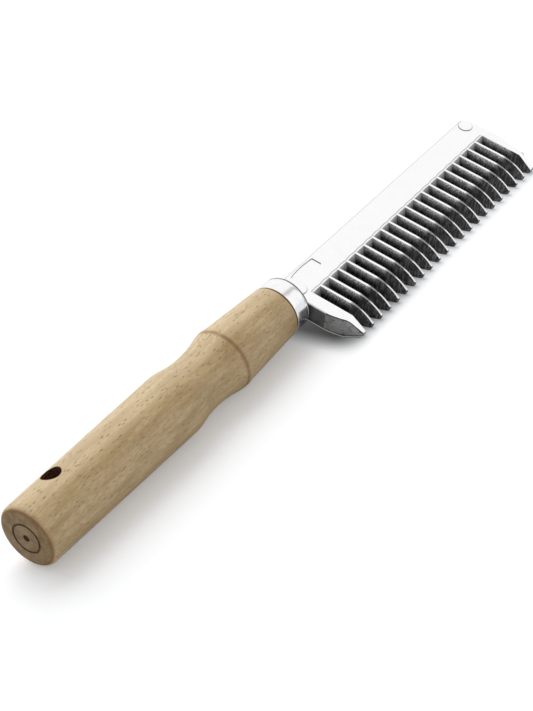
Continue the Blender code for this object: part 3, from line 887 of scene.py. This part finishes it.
# %% Handle: sizes
TENON_X = 3.0 * MM
TENON_RADIUS = 7.2 * MM
SHOULDER_RADIUS = 8.55 * MM
COLLAR_FOOT_RADIUS = 9.96 * MM
COLLAR_RADIUS = 10.095 * MM
COLLAR_END = 26.7 * MM
WAIST_PLACE = 37.8 * MM
WAIST_RADIUS = 8.7 * MM
WAIST_IN_POWER = 2.3
WAIST_OUT_POWER = 2.0
GRIP_START = 47.0 * MM
GRIP_RADIUS = 10.0 * MM
CORNER = 2.1 * MM
CORNER_DROP = 0.15 * MM
BUTT_FILLET = 1.9 * MM
RING_GROOVE = 4.5 * MM
GROOVE_WIDTH = 0.64 * MM
GROOVE_DEPTH = 0.5 * MM
CENTRE_HOLE = 0.95 * MM
CENTRE_DEPTH = 3.6 * MM
CENTRE_CHAMFER = 0.1 * MM
CENTRE_TIP_RADIUS = 0.45 * CENTRE_HOLE
HANDLE_POINTS = 144
print("handle from X", round(TENON_X / MM, 1), "to", round(BUTT_X / MM, 1), "mm")

# %% [markdown]
# Two kinds of stretches join these sizes: straight tapers and the curves of the waist. The two
# corners at the waist's ends aren't sharp on the real handle, so a last step takes a little off.

# %% Handle: stretches between the sizes
def curve_between(start, end, power, steps):
    """Stations from one (x, radius) to another: steep at the start and level at the end."""
    found = []
    for step in range(1, steps + 1):
        share = step / steps
        radius = end[1] + (start[1] - end[1]) * (1 - share) ** power
        found.append((start[0] + (end[0] - start[0]) * share, radius))
    return found


def straight(start, end, steps):
    return curve_between(start, end, 1, steps)


def softened(x, radius):
    """Takes a little off the two corners, as sandpaper does."""
    for corner in (-COLLAR_END, -GRIP_START):
        radius -= CORNER_DROP * max(0.0, 1 - abs(x - corner) / CORNER) ** 2
    return radius


print("the helpers curve_between, straight and softened are ready")

# %% [markdown]
# The shoulder, the crease in front of the collar and the ring groove are small, so each is a short
# table of offsets from its own place. The groove's table holds shares of its width and its depth.

# %% Handle: the turned stations
SHOULDER_OFFSETS = ((-0.1, -0.08), (-0.3, 0.0))
FOOT_OFFSETS = ((0.12, -0.03), (0.0, -0.10), (-0.10, -0.04))
COLLAR_OFFSETS = ((-0.22, -0.05), (-0.4, 0.0))
FOOT_FRONT_X = CREASE_X + 0.35 * MM
GROOVE_SHAPE = ((0.5, 0.0), (0.2, 0.8), (0.0, 1.0), (-0.2, 0.8), (-0.5, 0.0))

waist = (-WAIST_PLACE, WAIST_RADIUS)
collar_end = (-COLLAR_END, COLLAR_RADIUS)
grip = (-GRIP_START, GRIP_RADIUS)
stations = [(TENON_X, TENON_RADIUS - CLEARANCE), (TENON_X - CLEARANCE, TENON_RADIUS), (0.0, TENON_RADIUS)]
stations += [(0.0, SHOULDER_RADIUS - CLEARANCE)] + profile(0.0, SHOULDER_RADIUS, SHOULDER_OFFSETS)
stations += straight(stations[-1], (FOOT_FRONT_X, COLLAR_FOOT_RADIUS), steps=8)
stations += profile(CREASE_X, COLLAR_FOOT_RADIUS, FOOT_OFFSETS)
stations += profile(CREASE_X, COLLAR_RADIUS, COLLAR_OFFSETS)
stations += [(-COLLAR_END + step * CORNER / 3, COLLAR_RADIUS) for step in (3, 2, 1)] + [collar_end]
stations += curve_between(collar_end, waist, WAIST_IN_POWER, steps=30)
stations += list(reversed(curve_between(grip, waist, WAIST_OUT_POWER, steps=26)))[1:] + [grip]
stations += straight(grip, (BUTT_X + BUTT_FILLET, BUTT_RADIUS), steps=80)
stations = [(x, softened(x, radius)) for x, radius in stations]
stations += arc(BUTT_X + BUTT_FILLET, BUTT_RADIUS - BUTT_FILLET, BUTT_FILLET,
                start=90, end=180, steps=9)[1:]
for across_groove, depth in GROOVE_SHAPE:
    stations.append((BUTT_X + GROOVE_DEPTH * depth, RING_GROOVE + GROOVE_WIDTH * across_groove))
stations += [(BUTT_X, CENTRE_HOLE + CENTRE_CHAMFER), (BUTT_X + CENTRE_CHAMFER, CENTRE_HOLE)]
stations += [(BUTT_X + CENTRE_DEPTH, CENTRE_TIP_RADIUS)]
print(len(stations), "stations")

# %% [markdown]
# Both ends of the pulled ring are still open. The small end inside the centre hole is merged into one point,
# and the tenon's end gets a face. Then two cutters go in: the tapered socket for the tang, and the drill for
# the hanging hole. A Boolean is the right tool here, since the real hole is drilled through the finished
# handle too.

# %% Handle: ends, socket and hanging hole
handle = turned("turned_handle", stations, HANDLE_POINTS)
bpy.ops.mesh.merge(type="CENTER")
pick("EDGE", lambda edge: edge.is_boundary)
bpy.ops.mesh.edge_face_add()
tidy_mesh()

SOCKET_DEPTH = 48.3 * MM
SOCKET_WIDTH = 7.6 * MM
SOCKET_HEIGHT = 5.2 * MM
SOCKET_TAPER = (1, 0.6, 0.7)
OVERRUN = 2.0 * MM
DRILL_POINTS = 72
HANDLE_SMOOTH = 32
socket = begin("socket_cutter", bpy.ops.mesh.primitive_cube_add, size=1,
               location=(TENON_X + OVERRUN - SOCKET_DEPTH / 2, 0, 0),
               scale=(SOCKET_DEPTH, SOCKET_WIDTH, SOCKET_HEIGHT))
pick("FACE", lambda face: face.normal.x < -SQUARE_ON)
bpy.ops.transform.resize(value=SOCKET_TAPER, center_override=(0, 0, 0))

drill = begin("drill", bpy.ops.mesh.primitive_cylinder_add, vertices=DRILL_POINTS, radius=HOLE_RADIUS,
              depth=2 * (BUTT_RADIUS + OVERRUN), location=(HOLE_X, 0, 0),
              rotation=(HOLE_TURN - math.pi / 2, 0, 0))
leave_editing()
for cutter in (socket, drill):
    carve(handle, cutter, "DIFFERENCE")
handle.data.materials.clear()
handle.data.materials.append(beech.material)
finish_piece(handle, HANDLE_SMOOTH)
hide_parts("handle")
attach(handle, "root")

# %% [markdown]
# The ferrule is a short ring of thin plated metal, pressed onto the tenon. It is pulled through stations as
# well, out along the outside and back along the bore, and the last ring meets the first. Its back edge is
# slightly turned in towards the wood. Near the front there is a fine groove, and the lip in front of it is
# round. From the groove on, the lip is painted almost black, as painted shade: together they give the dark
# line and the bright one beside the comb.

# %% Ferrule
FERRULE_BACK = CLEARANCE
FERRULE_FRONT = 6.5 * MM
FERRULE_BACK_RADIUS = 8.6 * MM
FERRULE_FRONT_RADIUS = 8.3 * MM
FERRULE_BORE = 7.5 * MM
BORE_CHAMFER = 0.1 * MM
LIP = 0.36 * MM
GROOVE_PLACE = 5.75 * MM
TURNED_IN_OFFSETS = ((0.0, -0.25), (0.06, -0.09))
OUTSIDE_PLACES = [FERRULE_BACK + x * MM for x in (0.25, 1.5, 3.0, 4.5, 5.3)]
GROOVE_OFFSETS = ((-0.12, -0.02), (0.0, -0.14), (0.12, -0.04))
FERRULE_SMOOTH = 40


def ferrule_radius(x):
    share = (x - FERRULE_BACK) / (FERRULE_FRONT - FERRULE_BACK)
    return FERRULE_BACK_RADIUS + (FERRULE_FRONT_RADIUS - FERRULE_BACK_RADIUS) * share


stations = [(FERRULE_BACK, FERRULE_BORE)] + profile(FERRULE_BACK, FERRULE_BACK_RADIUS, TURNED_IN_OFFSETS)
stations += [(x, ferrule_radius(x)) for x in OUTSIDE_PLACES]
stations += profile(GROOVE_PLACE, ferrule_radius(GROOVE_PLACE), GROOVE_OFFSETS)
stations += arc(FERRULE_FRONT - LIP, FERRULE_FRONT_RADIUS - LIP, LIP, start=100, end=0, steps=8)
stations += [(FERRULE_FRONT - BORE_CHAMFER, FERRULE_BORE), (FERRULE_BACK, FERRULE_BORE)]
ferrule = turned("plated_ferrule", stations, HANDLE_POINTS)
tidy_mesh()
ferrule.data.materials.append(plated.material)
finish_piece(ferrule, FERRULE_SMOOTH)
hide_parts("ferrule")
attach(ferrule, "root")

# %% [markdown]
# The comb is one casting, but its teeth repeat. So the lesson models one pitch of it: a block of
# the spine as wide as one pitch, open at both ends, with one tooth on its front. The pitch is
# copied twenty times, the two ends are modelled the same way, and all of it is joined and merged.
#
# A tooth is thickest in its middle plane, where the two halves of the mould met, and thinner at the two flat
# sides, so that it could leave the mould. It is straight for half its length and then curves to its tip in an
# arc. The tooth grows out of the block by extruding the middle of the front face from station to station, and
# after each step grow_tooth moves the six new points.

# %% Casting: a block of the spine and a growing tooth
def slice_at(point, normal):
    """Cuts the whole piece in hand with a plane and leaves the new edges in place."""
    bpy.ops.mesh.select_mode(type="FACE")
    bpy.ops.mesh.select_all(action="SELECT")
    bpy.ops.mesh.bisect(plane_co=point, plane_no=normal)


def block(name, start_x, end_x, open_ends):
    """A length of the spine. Each open end loses its end face, so that it can join its neighbour."""
    piece = begin(name, bpy.ops.mesh.primitive_cube_add, size=1,
                  location=((start_x + end_x) / 2, (ROOT_Y + BACK_Y) / 2, 0),
                  scale=(end_x - start_x, SPINE_WIDTH, 2 * HALF_THICKNESS))
    pick("FACE", lambda face: any(near(centre(face).x, x) for x in open_ends))
    bpy.ops.mesh.delete(type="ONLY_FACE")
    slice_at((0, 0, 0), (0, 0, 1))
    return piece


def grow_tooth(places, rings):
    """Extrudes the front face between the six (x, z) places through (reach, new places) rings."""
    reach_now = 0.0
    for reach, new_places in rings:
        y = ROOT_Y - reach_now
        sides = [x for x, z in places]
        pick("FACE", lambda face: all(near(corner.co.y, y) for corner in face.verts)
             and min(sides) < centre(face).x < max(sides))
        extrude(y=reach_now - reach)
        y = ROOT_Y - reach
        for (x, z), (new_x, new_z) in zip(places, new_places):
            pick("VERT", lambda point: (point.co - Vector((x, y, z))).length < TINY)
            move(x=new_x - x, z=new_z - z)
        places = new_places
        reach_now = reach


print("the helpers slice_at, block and grow_tooth are ready")

# %% [markdown]
# The upper edge of a thin tooth curves down in an arc. Its radius follows from the run and the drop
# between the place where the tooth stops being straight and its rounded tip. The lower edge is
# different: the comb rests on it, and so the undersides of all teeth are one slanting plane that
# lies almost flat on the table, and the tips are blunt. After the bend the ridge is no longer
# ground flat, so it is narrower there, and it widens again towards the tip.

# %% Casting: the shape of a thin tooth
NOSE_RIDGE_SHARES = (1.0, 0.84, 0.68, 0.62, 0.66, 0.76, 0.84)
UNDER_TIP_CHAMFER = 0.5 * MM
STRAIGHT_STEPS = 5
TIP_ANGLES = (math.radians(35), math.radians(70))
TIP_RIDGE_SHARE = 0.85
THINNING_START = 0.9 * TOOTH_LENGTH
THINNED_SHARE = 0.8


def between(value, low, high, at_low, at_high):
    """Goes evenly from one value to another as value goes from low to high, and stays there."""
    share = min(1.0, max(0.0, (value - low) / (high - low)))
    return at_low + (at_high - at_low) * share


def underside(reach):
    """The height of the underside of any tooth, with the small chamfer at its tip."""
    slope = between(reach, END_STRAIGHT, TOOTH_LENGTH, -HALF_THICKNESS, -UNDER_TIP)
    return slope + max(0.0, reach - (TOOTH_LENGTH - UNDER_TIP_CHAMFER))


def six_places(top, bottom, left, right):
    """Places round a tooth. Left and right give X at the top, in the middle and at the bottom."""
    middle = between(top, THIN_TIP, 2 * THIN_TIP, (top + bottom) / 2, 0.0)
    heights = (top, middle, bottom)
    return list(zip(left, heights)) + list(zip(right, heights))


def thin_ring(reach, top, ridge_share):
    """The reach of one ring of a thin tooth and its six places."""
    ridge = RIDGE_WIDTH / 2 * ridge_share
    middle = TOOTH_THICKNESS / 2 * between(reach, THINNING_START, TOOTH_LENGTH, 1.0, THINNED_SHARE)
    right = (ridge, middle, RIDGE_WIDTH / 2)
    return reach, six_places(top, underside(reach), [-x for x in right], right)


thin_rings = [thin_ring(THIN_STRAIGHT * step / STRAIGHT_STEPS, HALF_THICKNESS, 1.0)
              for step in range(1, STRAIGHT_STEPS + 1)]
for step, ridge_share in enumerate(NOSE_RIDGE_SHARES, start=1):
    angle = NOSE_SWEEP * step / len(NOSE_RIDGE_SHARES)
    reach = THIN_STRAIGHT + NOSE_RADIUS * math.sin(angle)
    thin_rings.append(thin_ring(reach, HALF_THICKNESS - NOSE_RADIUS * (1 - math.cos(angle)), ridge_share))
for angle in TIP_ANGLES:
    reach = TOOTH_LENGTH - THIN_TIP + THIN_TIP * math.sin(angle)
    thin_rings.append(thin_ring(reach, THIN_TIP * math.cos(angle), TIP_RIDGE_SHARE))
print("a thin tooth has", len(thin_rings), "rings of six points")

# %% [markdown]
# The block is sliced on both sides of the ridge first, so that its front has a face of the tooth's
# width. The two points of that face in the middle plane move out by the draft, and then the tooth
# grows out of it.

# %% Casting: one pitch with its tooth
pitch = block("one_pitch", -PITCH / 2, PITCH / 2, (-PITCH / 2, PITCH / 2))
slice_at((-RIDGE_WIDTH / 2, 0, 0), (1, 0, 0))
slice_at((RIDGE_WIDTH / 2, 0, 0), (1, 0, 0))
for side in (-1, 1):
    pick("VERT", lambda point: near(point.co.z, 0) and near(point.co.y, ROOT_Y)
         and near(point.co.x, side * RIDGE_WIDTH / 2))
    move(x=side * DRAFT)
grow_tooth(thin_ring(0.0, HALF_THICKNESS, 1.0)[1], thin_rings)
leave_editing()
print("one pitch has", len(pitch.data.polygons), "faces")

# %% [markdown]
# The copies stand side by side, one pitch apart. Each is open where it meets the next one, so that
# no wall is left inside the spine when they are merged.

# %% Casting: twenty pitches
copies = []
for index in range(TEETH):
    take(pitch)
    bpy.ops.object.duplicate(linked=False)
    bpy.ops.transform.translate(value=(FIRST_SLOT_X + (index + 0.5) * PITCH, 0, 0))
    copies.append(bpy.context.active_object)
bpy.data.objects.remove(pitch)
print(len(copies), "copies of the pitch")

# %% [markdown]
# The near end tooth is nearly five millimetres thick. Its outer side is straight at first and then
# ground in towards the tip, and more so at the top than below, so that the flat slope of its nose
# ends in a point. The neck of the casting goes on behind it into the ferrule, and from there the
# tang runs through the tenon into the handle, where nobody sees it. The far end tooth is thinner,
# and the corner of the spine beside it is rounded by a bevel of its two upright edges.
#
# The insets of the outer side are small tables of (reach, inset at the top, inset below).

# %% Casting: the shape of the end teeth
NEAR_PARALLEL = 7.8 * MM
CORNER_STEPS = 10
NEAR_INSETS = ((2.6, 0.0, 0.0), (5.2, 0.0, 0.0), (7.8, 0.0, 0.0), (8.6, 0.05, 0.05), (9.8, 0.25, 0.2),
               (11.3, 0.62, 0.5), (12.8, 1.08, 0.85), (14.2, 1.55, 1.35), (14.8, 2.1, 1.6),
               (15.75, 2.5, 1.85), (16.8, 2.8, 2.1), (17.8, 3.1, 2.5), (18.5, 3.3, 2.8),
               (19.0, 3.45, 3.2), (19.3, 3.6, 3.5))
FAR_INSETS = ((3.8, 0.0, 0.0), (7.3, 0.65, 0.45), (10.8, 1.25, 0.85), (14.2, 1.75, 1.27), (16.4, 2.2, 1.5),
              (18.5, 2.5, 1.75), (19.0, 2.6, 1.8), (19.3, 2.65, 1.9))


def end_top(reach):
    """The height of an end tooth: flat, then a slope, then the rounded tip."""
    if reach <= TOOTH_LENGTH - END_TIP:
        return between(reach, END_STRAIGHT, TOOTH_LENGTH - END_TIP, HALF_THICKNESS, END_TIP)
    return math.sqrt(max(END_TIP ** 2 - (reach - TOOTH_LENGTH + END_TIP) ** 2, 0.0))


def end_places(top, bottom, outer_x, inner_x, side, inset_top, inset_below):
    """Places round an end tooth. Side is 1 where its inner side looks towards +X."""
    outer = [outer_x + side * inset for inset in (inset_top, inset_below, inset_below)]
    inner = [inner_x + side * DRAFT * (1 - abs(z) / HALF_THICKNESS) for z in (top, 0.0, bottom)]
    left, right = (outer, inner) if side > 0 else (inner, outer)
    return six_places(top, bottom, left, right)


def end_rings(insets, outer_x, inner_x, side):
    """The rings of an end tooth from its table of insets."""
    rings = []
    for reach, inset_top, inset_below in insets:
        reach = reach * MM
        rings.append((reach, end_places(end_top(reach), underside(reach), outer_x, inner_x, side,
                                        inset_top * MM, inset_below * MM)))
    return rings


print("end teeth have", len(NEAR_INSETS), "and", len(FAR_INSETS), "rings")

# %% [markdown]
# Each end is one more block with its own tooth. Only the side towards the thin teeth is open, and
# the cuts divide the block's front where the tooth starts.

# %% Casting: the two ends
def end_block(name, start_x, end_x, open_x, cuts, insets, outer_x, inner_x, side):
    """One end of the spine with its end tooth."""
    piece = block(name, start_x, end_x, (open_x,))
    for x in cuts:
        slice_at((x, 0, 0), (1, 0, 0))
    pick("VERT", lambda point: near(point.co.z, 0) and near(point.co.y, ROOT_Y) and near(point.co.x, inner_x))
    move(x=side * DRAFT)
    at_root = end_places(HALF_THICKNESS, -HALF_THICKNESS, outer_x, inner_x, side, 0.0, 0.0)
    grow_tooth(at_root, end_rings(insets, outer_x, inner_x, side))
    return piece


near_end = end_block("near_end", NECK_X, FIRST_SLOT_X, FIRST_SLOT_X, (NEAR_FACE_X, NEAR_INNER_X),
                     NEAR_INSETS, NEAR_FACE_X, NEAR_INNER_X, 1)
leave_editing()

far_end = end_block("far_end", LAST_SLOT_X, FAR_FACE_X, LAST_SLOT_X, (FAR_INNER_X,),
                    FAR_INSETS, FAR_FACE_X, FAR_INNER_X, -1)
pick("EDGE", lambda edge: near(centre(edge).x, FAR_FACE_X) and near(centre(edge).y, BACK_Y)
     and abs(centre(edge).z) > TINY)
bpy.ops.mesh.bevel(offset=CORNER_RADIUS, segments=CORNER_STEPS)
leave_editing()
print("near end", len(near_end.data.polygons), "faces, far end", len(far_end.data.polygons), "faces")

# %% [markdown]
# Joining and merging makes one open-ended chain into one closed casting.

# %% Casting: joined
leave_editing()
for piece in (*copies, far_end, near_end):
    piece.select_set(True)
bpy.context.view_layer.objects.active = near_end
bpy.ops.object.join()
casting = bpy.context.active_object
casting.name = "comb_with_tang"
casting.data.name = "comb_with_tang"
bpy.ops.object.mode_set(mode="EDIT")
tidy_mesh()
print("joined", len(copies) + 2, "pieces")

# %% [markdown]
# Two kinds of edges are worked at once along the whole comb. The first are those of the gaps.
# Between the teeth, the spine slopes down to its edge in a shallow ramp, which shows as a pale band
# above each gap: the edge gets a small bevel first, and then the upper line of that bevel is pulled
# back. The floor of each gap swells by almost a millimetre towards its middle, where the two halves
# of the mould met.

# %% Casting: ramps and floors of the gaps
WEB_SWELL = 0.9 * MM


def across_slot(x):
    """True if x lies between two teeth, at the ridge's width."""
    if not NEAR_INNER_X - TINY < x < FAR_INNER_X + TINY:
        return False
    from_slot = (x - FIRST_SLOT_X + PITCH / 2) % PITCH - PITCH / 2
    return abs(from_slot) < SLOT / 2 + TINY


def is_web_edge(edge):
    """The upper and lower edges of the floors of the gaps."""
    ends = [corner.co for corner in edge.verts]
    return (all(near(p.y, ROOT_Y) and near(abs(p.z), HALF_THICKNESS) for p in ends)
            and across_slot(centre(edge).x))


print("web edges", pick("EDGE", is_web_edge))
bpy.ops.mesh.bevel(offset=RAMP_DROP, segments=1)
pick("VERT", lambda point: near(point.co.y, ROOT_Y + RAMP_DROP) and near(abs(point.co.z), HALF_THICKNESS))
move(y=RAMP_LENGTH - RAMP_DROP)
pick("VERT", lambda point: near(point.co.z, 0) and near(point.co.y, ROOT_Y)
     and NEAR_INNER_X - TINY < point.co.x < FAR_INNER_X + TINY)
move(y=-WEB_SWELL)

# %% [markdown]
# The second kind are the long back edge and the edges around both ends, which the polishing wheel
# has rounded. Only an edge that two faces share at a real corner counts, which is at more than
# about seventy degrees.

# %% Casting: rounded long edges
ROUNDED = 0.32 * MM
ROUNDED_STEPS = 3
REAL_CORNER = 1.2


def is_outer_edge(edge):
    """The edges around the flat sides that the polishing wheel could reach."""
    ends = [corner.co for corner in edge.verts]
    if not all(near(abs(p.z), HALF_THICKNESS) for p in ends) or len(edge.link_faces) != 2:
        return False
    if edge.calc_face_angle(0) < REAL_CORNER:
        return False
    middle = centre(edge)
    reach = ROOT_Y - middle.y
    at_back = near(middle.y, BACK_Y)
    at_far_side = middle.x > FAR_INNER_X + FAR_WIDTH / 2 and reach < END_STRAIGHT
    at_near_side = middle.x < NEAR_INNER_X - NEAR_WIDTH / 3 and TINY < reach < END_STRAIGHT
    return at_back or at_far_side or at_near_side


print("outer edges", pick("EDGE", is_outer_edge))
bpy.ops.mesh.bevel(offset=ROUNDED, segments=ROUNDED_STEPS)
leave_editing()
print("casting has", len(casting.data.polygons), "faces")

# %% [markdown]
# Two low round discs and a shallow pocket are marks of the mould: the ends of the pins that pushed
# the casting out, and a pad that one of them sat on. A disc is a cylinder whose upper edge is
# bevelled. The pocket's cutter is a strip that is pulled along X, and at each station its two ends
# are moved to the pocket's outline. Each station is (X, Y on the side of the back, Y on the side of
# the teeth), in millimetres.

# %% Casting: helpers for the discs and the pocket
DISC_HEIGHT = 0.2 * MM
DISC_EDGE = 0.07 * MM
DISC_POINTS = 64
PAD_DEPTH = 0.25 * MM
PAD_CENTRE = (18.1 * MM, 1.4 * MM, 0)
PAD_OPENING = (1.06, 1.12, 1)
PAD_STATIONS = ((12.5, 3.05, 1.9), (12.7, 3.12, 0.75), (13.3, 3.2, 0.0), (14.4, 3.35, -0.42),
                (16.0, 3.5, -0.62), (18.1, 3.58, -0.8), (20.1, 3.52, -0.74), (21.9, 3.4, -0.52),
                (23.3, 3.25, -0.2), (23.65, 3.1, 0.05))


def disc(name, x, y):
    """A cylinder that stands out of the flat side, with a bevelled upper edge."""
    depth = HALF_THICKNESS
    piece = begin(name, bpy.ops.mesh.primitive_cylinder_add, vertices=DISC_POINTS, radius=DISC_RADIUS,
                  depth=depth, location=(x, y, HALF_THICKNESS + DISC_HEIGHT - depth / 2))
    pick("EDGE", lambda edge: all(corner.co.z > HALF_THICKNESS for corner in edge.verts))
    bpy.ops.mesh.bevel(offset=DISC_EDGE, segments=2)
    leave_editing()
    return piece


def pad_cutter():
    """A solid with the pocket's outline, which widens a little upwards."""
    stations = [tuple(size * MM for size in station) for station in PAD_STATIONS]
    x, back, front = stations[0]
    piece = begin("pad_cutter", bpy.ops.mesh.primitive_plane_add, size=back - front,
                  location=(x, (back + front) / 2, HALF_THICKNESS - PAD_DEPTH))
    pick("VERT", lambda point: point.co.x > x)
    bpy.ops.mesh.delete(type="VERT")
    bpy.ops.mesh.select_all(action="SELECT")
    move(x=(back - front) / 2)
    for next_x, next_back, next_front in stations[1:]:
        extrude(x=next_x - x)
        for old_y, new_y in ((back, next_back), (front, next_front)):
            pick("VERT", lambda point: near(point.co.x, next_x) and near(point.co.y, old_y))
            move(y=new_y - old_y)
        pick("VERT", lambda point: near(point.co.x, next_x))
        x, back, front = next_x, next_back, next_front
    bpy.ops.mesh.select_all(action="SELECT")
    extrude(z=PAD_DEPTH * 4)
    bpy.ops.transform.resize(value=PAD_OPENING, center_override=PAD_CENTRE)
    tidy_mesh()
    leave_editing()
    return piece


print("the helpers disc and pad_cutter are ready")

# %% [markdown]
# The tang is pulled out of the end face of the neck: the face is inset and resized to the tang's
# thick end, and two extrusions and resizes give its long taper and its flat tip. Then the marks of
# the mould go on, one Boolean each.

# %% Casting: tang
TANG_LENGTH = 48.0 * MM
TANG_TIP_LENGTH = 4.0 * MM
TANG_SIZE = (7.0 * MM, 4.6 * MM)
TANG_TIP_SIZE = (4.0 * MM, 3.0 * MM)
TANG_POINT = (0.3, 0.9)
NECK_INSET = 0.3 * MM
SPINE_MIDDLE = (NECK_X, (ROOT_Y + BACK_Y) / 2, 0)
neck_size = (SPINE_WIDTH - 2 * NECK_INSET, 2 * HALF_THICKNESS - 2 * NECK_INSET)


def resize_end(old_size, new_size):
    share_y, share_z = [new / old for old, new in zip(old_size, new_size)]
    bpy.ops.transform.resize(value=(1, share_y, share_z), center_override=SPINE_MIDDLE)


take(casting)
bpy.ops.object.mode_set(mode="EDIT")
print("neck faces", pick("FACE", lambda face: face.normal.x < -SQUARE_ON and near(centre(face).x, NECK_X)))
bpy.ops.mesh.dissolve_faces()
bpy.ops.mesh.inset(thickness=NECK_INSET)
resize_end(neck_size, TANG_SIZE)
extrude(x=-(TANG_LENGTH - TANG_TIP_LENGTH))
resize_end(TANG_SIZE, TANG_TIP_SIZE)
extrude(x=-TANG_TIP_LENGTH)
resize_end((1.0, 1.0), TANG_POINT)
leave_editing()

# %% Casting: discs and pocket
for index, (x, y) in enumerate(DISC_PLACES):
    carve(casting, disc("disc_%d" % index, x, y), "UNION")
carve(casting, pad_cutter(), "DIFFERENCE")
print("casting has", len(casting.data.polygons), "faces")

# %% [markdown]
# A sharp computer edge never catches the light, and a real one always does. A Bevel modifier
# rounds every edge that is sharper than thirty degrees by five hundredths of a millimetre.

# %% Casting: fine edges
FINE_EDGE = 0.05 * MM
CASTING_SMOOTH = 30

take(casting)
use_modifier(casting, "BEVEL", width=FINE_EDGE, segments=2, limit_method="ANGLE",
             angle_limit=math.radians(CASTING_SMOOTH), harden_normals=False)
print("casting has", len(casting.data.polygons), "faces")

# %% [markdown]
# The faces are sorted by the way they look: what the belt could reach is polished, and what lies
# between the teeth, and on the outer sides of the end teeth, keeps its cast skin. The place of a
# face and the way it faces are enough to tell. It looks sideways from about 27 degrees on, and is
# tilted from about 12.

# %% Casting: faces sorted by finish
POLISHED, CAST, RUBBED = 0, 1, 2
SIDEWAYS = 0.45
TILTED = 0.2

casting.data.materials.clear()
for finish in (polished, skin, rubbed):
    casting.data.materials.append(finish.material)


def finish_of(face):
    """Polished, cast skin, or rubbed, which are the floors of the gaps and the small walls."""
    middle = face.center
    facing = face.normal
    reach = ROOT_Y - middle.y
    in_web = -RAMP_DROP < 2 * reach < 2 * WEB_SWELL and middle.x > NEAR_FACE_X + NEAR_WIDTH / 2
    if facing.y < -SQUARE_ON and in_web:
        return RUBBED
    over_pocket = middle.z > HALF_THICKNESS - PAD_DEPTH + TINY and reach < -RAMP_LENGTH
    inside_edges = middle.y < BACK_Y - ROUNDED and middle.x > NEAR_FACE_X
    if over_pocket and abs(facing.z) < SQUARE_ON and inside_edges:
        return RUBBED
    outer_side = facing.x < -TILTED and middle.x < NEAR_INNER_X - NEAR_WIDTH / 3
    worn_edge = outer_side and abs(facing.z) > TILTED and reach > 0
    if worn_edge and (reach < NEAR_PARALLEL or middle.z < 0):
        return RUBBED
    between_teeth = abs(facing.x) > SIDEWAYS and reach > 0
    hidden = middle.x < NEAR_FACE_X and facing.z < SQUARE_ON
    underside_face = facing.z < -TILTED and reach > THIN_STRAIGHT
    tip = reach > TOOTH_LENGTH - THIN_TIP / 2 and facing.z < 0.5
    return CAST if between_teeth or hidden or underside_face or tip else POLISHED


counts = [0, 0, 0]
for face in casting.data.polygons:
    face.material_index = finish_of(face)
    counts[face.material_index] += 1
print("polished, cast skin, rubbed:", counts)

# %% [markdown]
# One thing the photograph shows only when it is measured: the roots and the tips of the teeth come
# closer to the back by four tenths of a millimetre from the near end to the far one. The last step
# before the casting is laid down moves its points by that much, and the back edge stays straight.

# %% Casting: laid down
leave_editing()
for point in casting.data.vertices:
    point.co.y += skew(point.co.x, point.co.y)
finish_piece(casting, CASTING_SMOOTH)
use_modifier(casting, "WEIGHTED_NORMAL", keep_sharp=True)
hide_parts("comb_casting", "tang")
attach(casting, "root")

# %% [markdown]
# The dressed comb has to be the size of the solid one. Both boxes are printed, so that they can be compared
# after each change.

# %% Sizes and the end
leave_editing()
DRESSED_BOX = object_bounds()
sizes = {"solid": [list(corner) for corner in SOLID_BOX], "dressed": [list(corner) for corner in DRESSED_BOX]}
for name, (low, high) in sizes.items():
    print(name, [round((b - a) * 1000, 2) for a, b in zip(low, high)], "mm")
